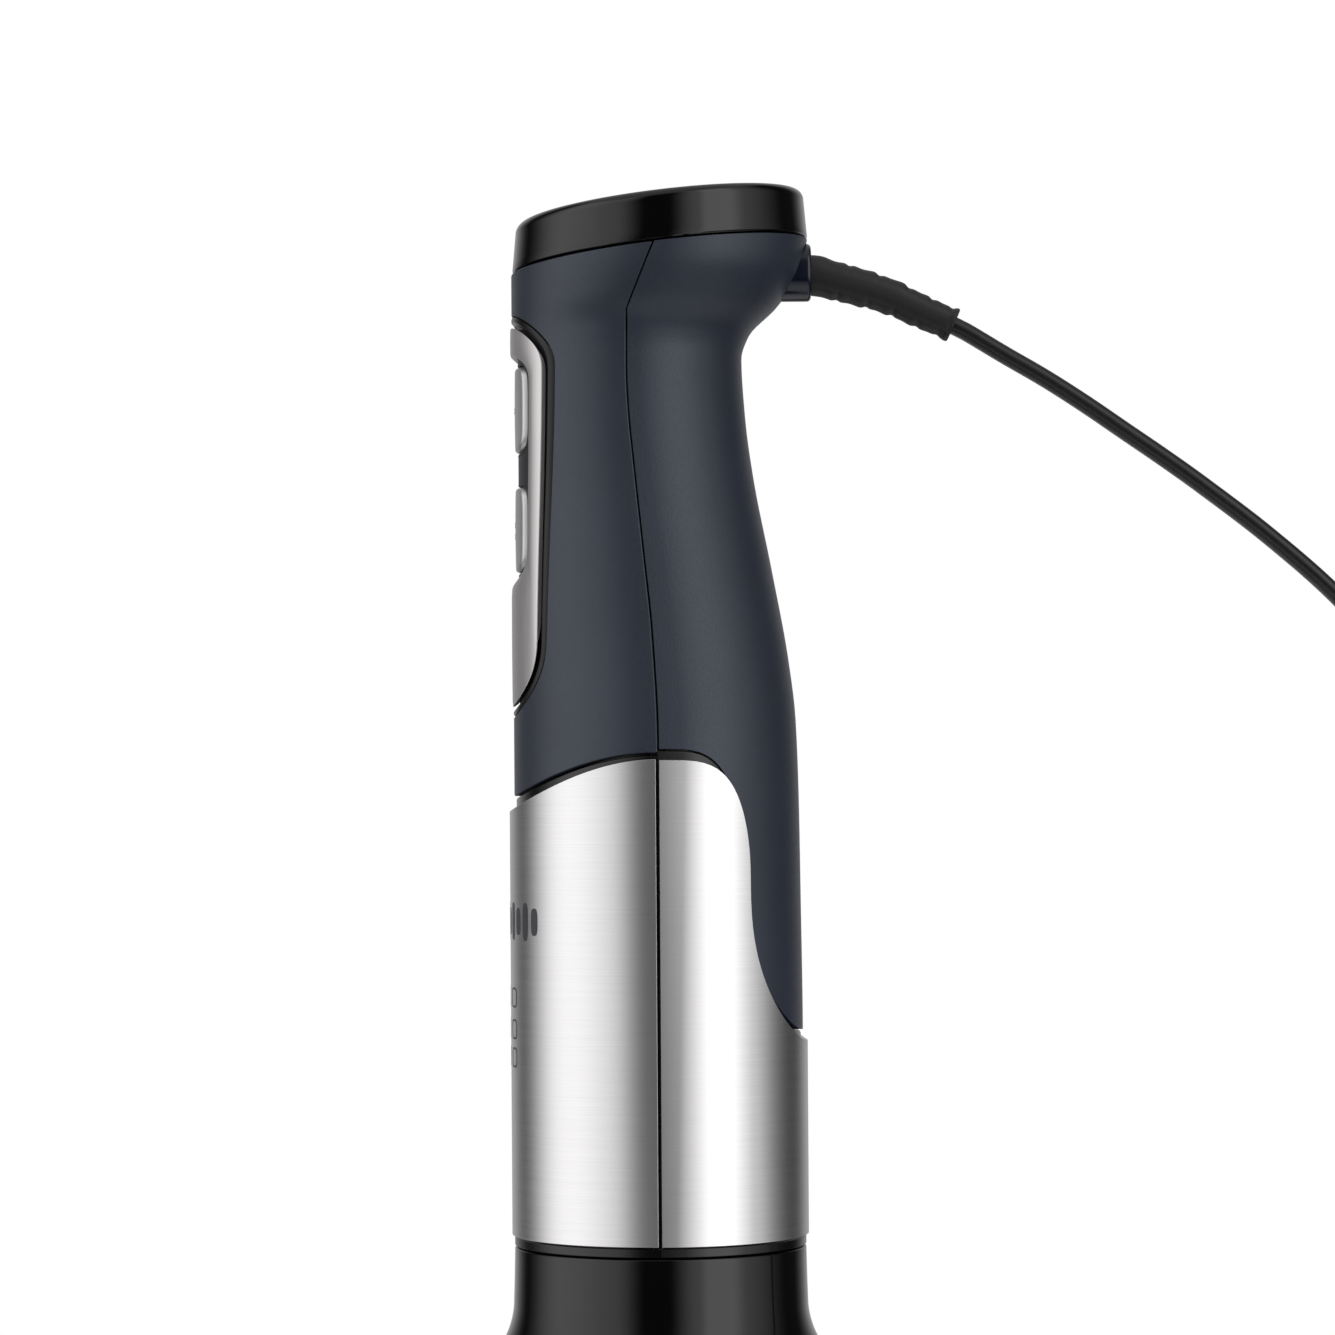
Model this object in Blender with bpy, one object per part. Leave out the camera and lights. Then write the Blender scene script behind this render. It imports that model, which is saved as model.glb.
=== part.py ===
"""A hand blender standing on its mini chopper, as separate pieces that move on real joints.

Sizes are in millimetres here and become metres when a mesh is made.  The table is z = 0, +Z is up, the
drive axis is x = y = 0, the buttons face -X and the cord leaves towards +X.
"""

import bisect
import math

import bmesh
import bpy
from mathutils import Matrix, Vector

MM = 0.001
GAP = 0.3

# Chopper
BASE_HEIGHT = 9.0
BOWL_FLOOR = 5.0
BOWL_TOP = 93.0
BOWL_RADIUS_LOW = 54.0
BOWL_RADIUS_TOP = 59.5
BOWL_WALL = 2.4
PIN_RADIUS = 3.0
LID_SKIRT_RADIUS = 62.5
LID_COLLAR_RADIUS = 33.4

# Motor unit
SEAM_Z = 130.0
FRONT_X = -32.9
SLEEVE_RADIUS = 34.0
STEEL = 1.0
SLEEVE_FOOT = SEAM_Z + 2.75
SHELL = 2.0
CORE_RADIUS = 32.4
CAP_TILT = math.tan(math.radians(6.5))
CAP_Z = SEAM_Z + 226.4
CAP_HEIGHT = 11.7
CAP_CENTRE = 1.2
SHAFT_RADIUS = 3.5
JAW_ANGLE = math.radians(36.0)

# Sides of the faceted circles
ROUND = 36
SMALL_ROUND = 16
SCREW_ROUND = 10

# Panel and buttons: half width, then where the top end begins and stops, and the same for the bottom end
SURROUND = (20.6, 199.0, 212.5, 138.0, 121.3)
SURROUND_INNER = (18.9, 199.0, 210.4, 138.0, 123.1)
BEZEL = (18.5, 199.0, 210.0, 138.0, 123.5)
BEZEL_LAND = (15.3, 197.5, 204.3, 157.5, 149.6)
BEZEL_OPENING = (14.7, 197.0, 203.5, 159.0, 151.2)
MEMBRANE = (18.2, 199.0, 209.7, 138.0, 123.8)
BUTTON_HALF_WIDTH = 10.6
BUTTON_HALF_HEIGHT = 9.7
SPEED_Z = 191.2
TURBO_Z = 163.8

# Cord
CORD_RADIUS = 2.6
COIL_CENTRE = (150.0, 0.0)
COIL_INNER = 28.5
COIL_OUTER = 47.8
COIL_HEIGHT = 6.6
PLUG_Y = 45.3
PLUG_Z = 13.0

# The body's rear line: height above the seam, distance behind the drive axis
REAR_LINE = (
    (0.0, 32.9), (49.5, 32.9), (79.0, 32.6), (102.0, 32.3), (120.0, 31.7), (134.0, 30.1), (154.6, 26.4),
    (175.3, 22.4), (189.0, 20.6), (202.8, 19.8), (208.1, 21.5), (215.2, 28.35), (223.1, 33.35), (230.5, 35.1),
)

# Where the front and rear shells meet: height above the seam, x
PARTING_LINE = (
    (0.0, 0.0), (115.0, 0.2), (138.6, -0.9), (156.9, -2.7), (175.3, -4.6), (189.0, -5.9), (198.0, -6.3),
    (211.7, -6.2), (230.3, 1.7),
)
PARTING_CORNER = 211.7


# ---------------------------------------------------------------- curves

def smooth(stations, at):
    """A monotone cubic through (place, value) stations, held level beyond both ends."""
    places = [place for place, _ in stations]
    values = [value for _, value in stations]
    if at <= places[0]:
        return values[0]
    if at >= places[-1]:
        return values[-1]
    slopes = []
    for i in range(len(places) - 1):
        slopes.append((values[i + 1] - values[i]) / (places[i + 1] - places[i]))
    tangents = [slopes[0]]
    for before, after in zip(slopes, slopes[1:]):
        level = before * after <= 0.0
        tangents.append(0.0 if level else 2.0 * before * after / (before + after))
    tangents.append(slopes[-1])
    i = bisect.bisect_right(places, at) - 1
    step = places[i + 1] - places[i]
    t = (at - places[i]) / step
    start = (2 * t - 3) * t * t + 1
    end = (3 - 2 * t) * t * t
    lift = (t - 1) * (t - 1) * t * tangents[i] + (t - 1) * t * t * tangents[i + 1]
    return start * values[i] + end * values[i + 1] + step * lift


def straight(stations, at):
    """The straight lines between (place, value) stations."""
    for (low, near), (high, far) in zip(stations, stations[1:]):
        if low <= at <= high:
            return near + (far - near) * (at - low) / (high - low)
    return stations[-1][1]


def parting_x(rise):
    """x of the line between the front and rear shells; it is straight above its sharp corner."""
    if rise < PARTING_CORNER:
        return smooth(PARTING_LINE[:-1], rise)
    (low, near), (high, far) = PARTING_LINE[-2:]
    return near + (far - near) * (rise - low) / (high - low)


def body_circle(rise):
    """Centre x and radius of the grip's round section at a height above the seam."""
    rear = smooth(REAR_LINE, rise)
    return (rear + FRONT_X) / 2, (rear - FRONT_X) / 2


def on_body(angle, rise, depth=0.0):
    """A point of the grip's surface, or that far under it; the angle is from the front, towards +Y."""
    centre, radius = body_circle(rise)
    reach = radius - depth
    return (centre - reach * math.cos(angle), reach * math.sin(angle), SEAM_Z + rise)


def parting_angle(rise):
    """The angle from the front at which the two shells meet."""
    centre, radius = body_circle(rise)
    return math.acos(max(-1.0, min(1.0, (centre - parting_x(rise)) / radius)))


def on_sleeve(angle, radius, z):
    """A point at an angle from the front, towards +Y, round the drive axis."""
    return (-radius * math.cos(angle), radius * math.sin(angle), z)


def front_edge(y, lowest, radius):
    """Height of an edge that dips in the middle of the front as an arc."""
    return lowest + radius - math.sqrt(radius * radius - y * y)


def rear_edge(half_width, lowest, flare_top, reach):
    """The tongue outline behind, from its lowest point out to the parting line, as (y, rise) points."""
    centre = 85.0
    points = []
    for step in range(8):
        turn = (step / 7) ** 1.5 * math.pi / 2
        y = half_width * math.sin(turn) ** (2 / 2.8)
        points.append((y, centre - (centre - lowest) * math.cos(turn) ** (2 / 2.8)))
    for step in range(1, 5):
        turn = step / 4 * math.pi / 2
        y = half_width + (reach - half_width) * (1 - math.cos(turn))
        points.append((y, centre + (flare_top - centre) * math.sin(turn)))
    return points


def panel_loop(shape, side_steps=4, end_steps=8, power=2.3):
    """A panel outline as (y, rise) points: up the +Y side, over the top, down the -Y side, round below."""
    half, top_start, top, low_start, low = shape
    loop = []
    for i in range(side_steps):
        loop.append((half, low_start + (top_start - low_start) * i / side_steps))
    for i in range(end_steps):
        loop.append(end_point(half, top_start, top, math.pi * i / end_steps, power))
    for i in range(side_steps):
        loop.append((-half, top_start + (low_start - top_start) * i / side_steps))
    for i in range(end_steps):
        y, rise = end_point(half, low_start, low, math.pi * i / end_steps, power)
        loop.append((-y, rise))
    return loop


def end_point(half, start, stop, turn, power):
    """A point of a rounded end at an angle from the +Y side."""
    across = math.cos(turn)
    y = math.copysign(half * abs(across) ** (2 / power), across)
    return y, start + (stop - start) * abs(math.sin(turn)) ** (2 / power)


def button_loop(middle, grow, steps=24, power=4.0):
    """A button's rounded outline as (y, rise) points."""
    loop = []
    for i in range(steps):
        turn = 2 * math.pi * i / steps
        across, up = math.cos(turn), math.sin(turn)
        y = math.copysign(abs(across) ** (2 / power), across) * (BUTTON_HALF_WIDTH + grow)
        loop.append((y, middle + math.copysign(abs(up) ** (2 / power), up) * (BUTTON_HALF_HEIGHT + grow)))
    return loop


def on_front(loop, depth):
    """Lays (y, rise) points on the front of the body, that far under its surface."""
    points = []
    for y, rise in loop:
        centre, radius = body_circle(rise)
        reach = radius - depth
        points.append((centre - math.sqrt(reach * reach - y * y), y, SEAM_Z + rise))
    return points


def on_plane(loop, x):
    """Lays (y, rise) points on the upright plane at x."""
    return [(x, y, SEAM_Z + rise) for y, rise in loop]


def round_loop(radius, z, count):
    """A level circle about the drive axis."""
    points = []
    for i in range(count):
        turn = 2 * math.pi * i / count
        points.append((radius * math.cos(turn), radius * math.sin(turn), z))
    return points


def hex_loop(corner_radius, z, count):
    """A level hexagon about the drive axis, with points along its sides."""
    points = []
    for i in range(count):
        turn = 2 * math.pi * i / count
        off_flat = (turn % (math.pi / 3)) - math.pi / 6
        reach = corner_radius * math.cos(math.pi / 6) / math.cos(off_flat)
        points.append((reach * math.cos(turn), reach * math.sin(turn), z))
    return points


# ---------------------------------------------------------------- objects

def finish(name, colour, roughness, metallic=0.0, alpha=1.0):
    """A plain material."""
    material = bpy.data.materials.new(name)
    material.use_nodes = True
    shader = material.node_tree.nodes["Principled BSDF"]
    shader.inputs["Base Color"].default_value = (*colour, 1.0)
    shader.inputs["Roughness"].default_value = roughness
    shader.inputs["Metallic"].default_value = metallic
    shader.inputs["Alpha"].default_value = alpha
    return material


def body(name, place=(0.0, 0.0, 0.0)):
    """An empty on a joint's axis, which carries the pieces of one moving body."""
    empty = bpy.data.objects.new(name, None)
    empty.location = Vector(place) * MM
    bpy.context.scene.collection.objects.link(empty)
    return empty


def add(name, mesh, carrier, material):
    """Links an object whose mesh is in world place, with its origin on its carrier."""
    mesh.transform(Matrix.Translation(-carrier.location))
    mesh.materials.append(material)
    mesh.shade_smooth()
    mesh.set_sharp_from_angle(angle=math.radians(35))
    piece = bpy.data.objects.new(name, mesh)
    piece.parent = carrier
    bpy.context.scene.collection.objects.link(piece)
    return piece


def to_mesh(bm, name):
    """Closes a bmesh into a mesh with its faces pointing out."""
    bmesh.ops.recalc_face_normals(bm, faces=bm.faces)
    mesh = bpy.data.meshes.new(name)
    bm.to_mesh(mesh)
    bm.free()
    return mesh


def lofted(name, sections, carrier, material, closed=False, ladder=False):
    """One closed body through equal sections.  A ladder end joins each point to the one opposite."""
    bm = bmesh.new()
    loops = [[bm.verts.new(Vector(point) * MM) for point in section] for section in sections]
    following = loops[1:] + loops[:1] if closed else loops[1:]
    count = len(loops[0])
    for near, far in zip(loops, following):
        for i in range(count):
            j = (i + 1) % count
            bm.faces.new((near[i], near[j], far[j], far[i]))
    if not closed:
        for loop in (loops[0], loops[-1]):
            cap(bm, loop, ladder)
    return add(name, to_mesh(bm, name), carrier, material)


def cap(bm, loop, ladder):
    """Fills an end, as one face or as a ladder of faces."""
    if not ladder:
        bm.faces.new(loop)
        return
    half = len(loop) // 2
    for i in range(half - 1):
        bm.faces.new((loop[i], loop[i + 1], loop[-2 - i], loop[-1 - i]))


def turned(name, profile, carrier, material, segments=32, centre=(0.0, 0.0), slope=0.0):
    """A (radius, z) profile spun about an upright axis.  A slope leans its levels up towards +X."""
    bm = bmesh.new()
    points = [bm.verts.new((radius, 0.0, z)) for radius, z in profile]
    on_axis = profile[0][0] == 0.0 and profile[-1][0] == 0.0
    following = points[1:] if on_axis else points[1:] + points[:1]
    edges = [bm.edges.new(pair) for pair in zip(points, following)]
    bmesh.ops.spin(bm, geom=points + edges, axis=(0, 0, 1), cent=(0, 0, 0), angle=2 * math.pi,
                   steps=segments, use_merge=True)
    bmesh.ops.remove_doubles(bm, verts=bm.verts, dist=0.001)
    for vert in bm.verts:
        x, y, z = vert.co
        x += centre[0]
        vert.co = Vector((x, y + centre[1], z + slope * x)) * MM
    return add(name, to_mesh(bm, name), carrier, material)


def lying(name, profile, carrier, material, at, segments=20):
    """A (radius, x) profile spun about the line along X through at, a (y, z) place."""
    piece = turned(name, profile, carrier, material, segments)
    lay = Matrix.Rotation(math.pi / 2, 4, "Y")
    up = Matrix.Translation(carrier.location)
    shift = Matrix.Translation(Vector((0.0, at[0], at[1])) * MM)
    piece.data.transform(Matrix.Translation(-carrier.location) @ shift @ lay @ up)
    return piece


def box(name, low, high, carrier, material, bevel=0.0):
    """A block between two corners."""
    bm = bmesh.new()
    bmesh.ops.create_cube(bm, size=1.0)
    size = Vector(high) - Vector(low)
    middle = (Vector(high) + Vector(low)) / 2
    for vert in bm.verts:
        vert.co = Vector((vert.co.x * size.x, vert.co.y * size.y, vert.co.z * size.z)) + middle
        vert.co *= MM
    if bevel:
        bmesh.ops.bevel(bm, geom=bm.edges[:], offset=bevel * MM, segments=1, affect="EDGES")
    return add(name, to_mesh(bm, name), carrier, material)


def extruded(name, outline, start, stop, carrier, material):
    """A closed outline of 3-D points, moved from start to stop, two offsets."""
    sections = []
    for offset in (start, stop):
        sections.append([tuple(a + b for a, b in zip(point, offset)) for point in outline])
    return lofted(name, sections, carrier, material)


def ringed(name, outer, inner, low, high, carrier, material):
    """A wall between two level outlines with the same number of points."""
    sections = []
    for loop, z in ((outer, low), (outer, high), (inner, high), (inner, low)):
        sections.append([(x, y, z) for x, y, _ in loop])
    return lofted(name, sections, carrier, material, closed=True)


def combine(piece, tool, operation="DIFFERENCE"):
    """Cuts a tool from a piece, or joins it on, and hides the tool."""
    change = piece.modifiers.new(tool.name, "BOOLEAN")
    change.operation = operation
    change.solver = "EXACT"
    change.object = tool
    tool.hide_render = True
    tool.display_type = "WIRE"


def sector(name, start, inner, outer, low, high, carrier, material):
    """A jaw: part of a ring, JAW_ANGLE wide, from an angle on."""
    steps = 2
    outline = []
    for radius, order in ((outer, range(steps + 1)), (inner, range(steps, -1, -1))):
        for i in order:
            turn = start + JAW_ANGLE * i / steps
            outline.append((radius * math.cos(turn), radius * math.sin(turn), 0.0))
    return extruded(name, outline, (0, 0, low), (0, 0, high), carrier, material)


def add_jaws(piece, first, low, high, carrier, material):
    """Three coupling jaws, a third of a turn apart, joined to a piece."""
    for i in range(3):
        start = math.radians(first) + i * 2 * math.pi / 3
        combine(piece, sector(f"{piece.name}_jaw_{i}", start, 4.5, 9.5, low, high, carrier, material), "UNION")


# ---------------------------------------------------------------- chopper

def build_bowl(carrier, rubber, clear, steel):
    """Base ring, bowl and the pin that the blades turn on."""
    turned("base_ring", [
        (46.0, 0.0), (55.8, 0.0), (56.8, 1.2), (56.5, BASE_HEIGHT), (54.9, BASE_HEIGHT), (54.9, BOWL_FLOOR - GAP),
        (46.0, BOWL_FLOOR - GAP),
    ], carrier, rubber, ROUND)
    inner_top = BOWL_RADIUS_TOP - BOWL_WALL
    turned("chopper_bowl", [
        (0.0, BOWL_FLOOR), (52.5, BOWL_FLOOR), (BOWL_RADIUS_LOW, BOWL_FLOOR + 1.5), (BOWL_RADIUS_TOP, BOWL_TOP),
        (inner_top, BOWL_TOP), (51.7, 10.5), (49.5, 8.0), (7.5, 8.0), (6.3, 16.0), (PIN_RADIUS + GAP, 16.0),
        (PIN_RADIUS + GAP, 8.0), (0.0, 8.0),
    ], carrier, clear, ROUND)
    turned("bowl_pin", [(0.0, 8.3), (PIN_RADIUS, 8.3), (PIN_RADIUS, 59.0), (2.2, 60.0), (0.0, 60.0)],
           carrier, steel, SMALL_ROUND)


def blade_outline(half_width_hub, half_width_tip, sweep):
    """Two sickle wings opposite each other, as points about the drive axis."""
    radii = (11.0, 17.0, 24.0, 31.0, 38.0, 44.0, 48.5)
    lead, trail = [], []
    for radius in radii:
        out = (radius - radii[0]) / (radii[-1] - radii[0])
        middle = sweep * out ** 1.4
        half = (half_width_hub + (half_width_tip - half_width_hub) * out) / radius
        trail.append((radius, middle - half))
        lead.append((radius, middle + half * (1.0 - 0.75 * out ** 4)))
    wing = trail + lead[::-1]
    points = []
    for half_turn in (0.0, math.pi):
        for radius, angle in wing:
            turn = half_turn + angle
            points.append((radius * math.cos(turn), radius * math.sin(turn), 0.0))
        hub_start = half_turn + lead[0][1]
        hub_stop = half_turn + math.pi + trail[0][1]
        for i in range(1, 5):
            turn = hub_start + (hub_stop - hub_start) * i / 5
            points.append((radii[0] * math.cos(turn), radii[0] * math.sin(turn), 0.0))
    return points


def build_blade(name, low, facing, carrier, steel):
    """One two-winged knife with the hole for its hub."""
    outline = blade_outline(7.0, 3.2, math.radians(24))
    turn = Matrix.Rotation(facing, 3, "Z")
    outline = [tuple(turn @ Vector(point)) for point in outline]
    knife = extruded(name, outline, (0, 0, low), (0, 0, low + 1.2), carrier, steel)
    hole = [(0.0, low - 1), (7.3, low - 1), (7.3, low + 3), (0.0, low + 3)]
    combine(knife, turned(f"{name}_hole", hole, carrier, steel, 24))


def build_blades(carrier, plastic, steel):
    """The hub that turns on the bowl's pin, with two knives and the hexagon stem that drives it."""
    count = 24
    sections = [
        round_loop(PIN_RADIUS + 0.35, 62.0, count), round_loop(PIN_RADIUS + 0.35, 17.0, count),
        round_loop(11.0, 17.0, count), round_loop(11.0, 19.7, count), round_loop(7.0, 19.7, count),
        round_loop(7.0, 84.0, count), hex_loop(4.6, 84.0, count), hex_loop(4.6, 95.0, count),
    ]
    lofted("blade_hub", sections, carrier, plastic)
    build_blade("lower_blade", 20.0, 0.0, carrier, steel)
    build_blade("upper_blade", 46.0, math.pi / 2, carrier, steel)


def arc(centre, radius, start, stop, steps):
    """Points of an arc in the (radius, z) plane, ends included, angles in degrees."""
    points = []
    for i in range(steps + 1):
        turn = math.radians(start + (stop - start) * i / steps)
        points.append((centre[0] + radius * math.cos(turn), centre[1] + radius * math.sin(turn)))
    return points


def build_lid(carrier, black, bush, rubber):
    """The lid with the collar that the motor unit stands in, its bush and its seal."""
    outside = [(31.2, SEAM_Z), (LID_COLLAR_RADIUS, SEAM_Z), (33.6, 119.0)]
    outside += arc((53.7, 118.0), 20.0, 190.0, 268.0, 4)
    outside += [(59.5, 97.2), (62.0, 95.8), (LID_SKIRT_RADIUS, 94.0), (LID_SKIRT_RADIUS, 82.0)]
    inside = [(60.9, 82.0), (60.9, 93.4), (53.7, 95.6), (42.0, 99.2), (36.6, 103.4), (10.5, 103.4), (10.5, 97.0)]
    tube = [(7.3, 97.0), (7.3, 112.0), (10.5, 112.0), (10.5, 106.0), (31.2, 106.0)]
    turned("chopper_lid", outside + inside + tube, carrier, black, ROUND)
    turned("lid_bush", [(5.3, 97.0), (7.0, 97.0), (7.0, 112.0), (5.3, 112.0)], carrier, bush, SMALL_ROUND)
    turned("lid_seal", [(54.0, 90.5), (56.5, 90.5), (56.5, 94.2), (54.0, 94.6)], carrier, rubber, ROUND)


def build_lid_drive(carrier, plastic):
    """The coupling in the lid: a hexagon socket below, a shaft, and jaws above."""
    count = 24
    sections = [
        hex_loop(5.0, 95.4, count), hex_loop(5.0, 85.0, count), round_loop(8.5, 85.0, count),
        round_loop(8.5, 96.6, count), round_loop(4.9, 96.6, count), round_loop(4.9, 113.0, count),
        round_loop(10.0, 113.0, count), round_loop(10.0, 116.0, count),
    ]
    coupling = lofted("lid_coupling", sections, carrier, plastic)
    add_jaws(coupling, 0.0, 115.5, 121.0, carrier, plastic)


def build_bayonet_ring(carrier, plastic):
    """The ring in the lid's collar, with three upright slots for the motor unit's lugs."""
    count = 60
    inner = []
    for i in range(count):
        turn = 2 * math.pi * i / count
        in_slot = any(abs(math.degrees(turn) - middle) < 7.0 for middle in (60.0, 180.0, 300.0))
        radius = 29.6 if in_slot else 27.4
        inner.append((radius * math.cos(turn), radius * math.sin(turn), 0.0))
    ringed("bayonet_ring", round_loop(30.9, 0.0, count), inner, 107.0, 118.0, carrier, plastic)


# ---------------------------------------------------------------- motor unit, outside

def build_sleeve(carrier, steel):
    """The polished plates round the lower half, with a narrow slot between them at both sides."""
    slot = math.asin(0.42 / SLEEVE_RADIUS)
    for name, edge in (("front_steel_plate", sleeve_front()), ("rear_steel_plate", sleeve_rear(slot))):
        sections = []
        for angle, rise in edge:
            section = []
            for radius, z in ((SLEEVE_RADIUS, SLEEVE_FOOT), (SLEEVE_RADIUS, SEAM_Z + rise),
                              (SLEEVE_RADIUS - STEEL, SEAM_Z + rise), (SLEEVE_RADIUS - STEEL, SLEEVE_FOOT)):
                section.append(on_sleeve(angle, radius, z))
            sections.append(section)
        lofted(name, sections, carrier, steel)


def sleeve_front():
    """The front plate's columns as (angle, top)."""
    half = math.pi / 2 - math.asin(0.42 / SLEEVE_RADIUS)
    columns = []
    for i in range(19):
        angle = half * (i / 9 - 1)
        columns.append((angle, front_edge(SLEEVE_RADIUS * math.sin(angle), 99.5, 56.0)))
    return columns


def sleeve_rear(slot):
    """The rear plate's columns as (angle, top), with the tongue cut in the middle."""
    half = []
    for y, rise in rear_edge(27.0, 46.7, 110.8, SLEEVE_RADIUS):
        angle = math.pi - math.asin(min(1.0, y / SLEEVE_RADIUS))
        half.append((max(angle, math.pi / 2 + slot), rise))
    return half[::-1] + [(2 * math.pi - angle, rise) for angle, rise in half[1:]]


def build_inner_housings(carrier, black):
    """The black core behind the plates, with the spigot and lugs that lock on the lid."""
    split = math.radians(0.35)
    lug_edges = (6.0, 5.6)
    front = [(math.pi / 2 - split) * (i / 7 - 1) for i in range(15)]
    front += [math.radians(sign * step) for sign in (-1, 1) for step in lug_edges]
    sections = []
    for angle in sorted(front):
        rise = front_edge(CORE_RADIUS * math.sin(angle), 103.0, 61.0) - 0.4
        sections.append(core_section(angle, rise, abs(math.degrees(angle)) < 5.7))
    lofted("front_inner_housing", sections, carrier, black)

    half = []
    for y, rise in rear_edge(26.2, 49.3, 113.3, CORE_RADIUS):
        angle = min(math.asin(min(1.0, y / CORE_RADIUS)), math.pi / 2 - split)
        half.append((angle, rise))
    outline = sorted(half)
    for step in (54.0, 54.4, 65.6, 66.0):
        angle = math.radians(step)
        half.append((angle, straight(outline, angle)))
    half = sorted(half)
    sections = []
    for angle, rise in half[::-1] + [(-angle, rise) for angle, rise in half[1:]]:
        in_lug = 54.2 < abs(math.degrees(angle)) < 65.8
        sections.append(core_section(math.pi - angle, rise - 0.4, in_lug))
    lofted("rear_inner_housing", sections, carrier, black)


def core_section(angle, step_rise, in_lug):
    """The core's wall, foot and spigot at one angle from the front."""
    lug = 29.2 if in_lug else 27.1
    step = SEAM_Z + step_rise
    foot = SEAM_Z + GAP
    profile = (
        (11.0, 133.0), (11.0, foot), (24.5, foot), (24.5, 108.0), (27.0, 108.0), (27.0, 109.0), (lug, 109.0),
        (lug, 113.0), (27.0, 113.0), (27.0, foot), (LID_COLLAR_RADIUS, foot), (LID_COLLAR_RADIUS, 132.45),
        (CORE_RADIUS, 132.45), (CORE_RADIUS, step), (29.2, step), (29.2, 245.0), (28.0, 245.0), (28.0, 133.0),
    )
    return [on_sleeve(angle, radius, z) for radius, z in profile]


def shell_top(angle, edge_gap=0.4):
    """Height above the seam at which a shell meets the cap, at an angle from the front."""
    rise = 226.0
    for _ in range(3):
        x = on_body(angle, rise)[0]
        rise = CAP_Z - SEAM_Z - edge_gap + x * CAP_TILT
    return rise


def build_front_shell(carrier, grip):
    """The front of the grip, with the opening for the control panel."""
    opening = tuple(value + grow for value, grow in zip(SURROUND, (0.3, 0.0, 0.3, 0.0, -0.3)))
    side_steps, end_steps, rows = 9, 8, 4
    inner_loop = panel_loop(opening, side_steps, end_steps)
    sections = []
    for (y, rise), (far_angle, far_rise) in zip(inner_loop, front_border(side_steps, end_steps)):
        _, radius = body_circle(rise)
        outside, inside = math.asin(y / radius), math.asin(y / (radius - SHELL))
        outer, inner = [], []
        for i in range(rows + 1):
            t = i / rows
            level = rise + (far_rise - rise) * t
            outer.append(on_body(outside + (far_angle - outside) * t, level))
            inner.append(on_body(inside + (far_angle - inside) * t, level, SHELL))
        sections.append(outer + inner[::-1])
    lofted("front_grip_shell", sections, carrier, grip, closed=True)


def front_border(side_steps, end_steps):
    """The front shell's outer border as (angle, rise), matched to the panel's loop."""
    seam = math.radians(0.35)
    levels = (113.3, 128.0, 142.0, 157.0, 173.0, 187.0, 200.0, 207.0, PARTING_CORNER)
    side = [(parting_angle(rise) - seam, rise) for rise in levels[:side_steps]]
    top_angle = parting_angle(226.0) - seam
    low_radius = body_circle(105.0)[1]
    top, bottom = [], []
    for i in range(end_steps):
        t = 1 - 2 * i / end_steps
        top.append((top_angle * t, shell_top(top_angle * t)))
        angle = -side[0][0] * t
        bottom.append((angle, front_edge(low_radius * math.sin(angle), 103.0, 61.0)))
    return side + top + [(-angle, rise) for angle, rise in [top[0]] + side[:0:-1]] + bottom


def build_rear_shell(carrier, grip):
    """The back of the grip: the tongue below, the neck, and the flare with the hole for the cord's gland."""
    seam = math.radians(0.35)
    levels = (118.0, 134.0, 154.0, 175.0, 198.0, 206.0, 211.0, 216.0)
    half = []
    for y, rise in rear_edge(26.2, 49.3, 113.3, 32.4):
        radius = body_circle(rise)[1]
        edge = parting_angle(rise) + seam
        angle = max(math.pi - math.asin(min(1.0, y / radius)), edge)
        half.append(((angle - edge) / (math.pi - edge), rise))
    half[-1] = (0.0, half[-1][1])
    columns = [(share, rise, 1) for share, rise in half[::-1]] + [(share, rise, -1) for share, rise in half[1:]]
    sections = []
    for share, low, side in columns:
        outer, inner = [], []
        for rise in column_levels(share, low, levels, seam):
            edge = parting_angle(rise) + seam
            angle = edge + (math.pi - edge) * share
            if side < 0:
                angle = 2 * math.pi - angle
            outer.append(on_body(angle, rise))
            inner.append(on_body(angle, rise, SHELL))
        sections.append(outer + inner[::-1])
    shell = lofted("rear_grip_shell", sections, carrier, grip, ladder=True)
    hole = [(0.0, 20.0), (6.8, 20.0), (6.8, 45.0), (0.0, 45.0)]
    combine(shell, lying("gland_hole", hole, carrier, grip, (0.0, SEAM_Z + 222.6)))


def column_levels(share, low, levels, seam):
    """Heights of one column's points: from the lower edge, through the fixed levels, to the cap."""
    edge = parting_angle(226.0) + seam
    top = shell_top(edge + (math.pi - edge) * share)
    rises = [low, low + (levels[0] - low) * 0.5]
    return rises + list(levels) + [top]


def build_cap(carrier, gloss):
    """The hollow cap, which leans up to the rear."""
    top = CAP_Z + CAP_HEIGHT
    profile = [
        (0.0, top + 0.6), (20.0, top + 0.3), (30.6, top - 0.4), (32.4, top - 1.3), (33.1, top - 3.2),
        (33.8, CAP_Z + 0.4), (33.5, CAP_Z), (31.4, CAP_Z), (30.8, top - 3.0), (0.0, top - 2.0),
    ]
    turned("top_cap", profile, carrier, gloss, ROUND, (CAP_CENTRE, 0.0), CAP_TILT)


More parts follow.
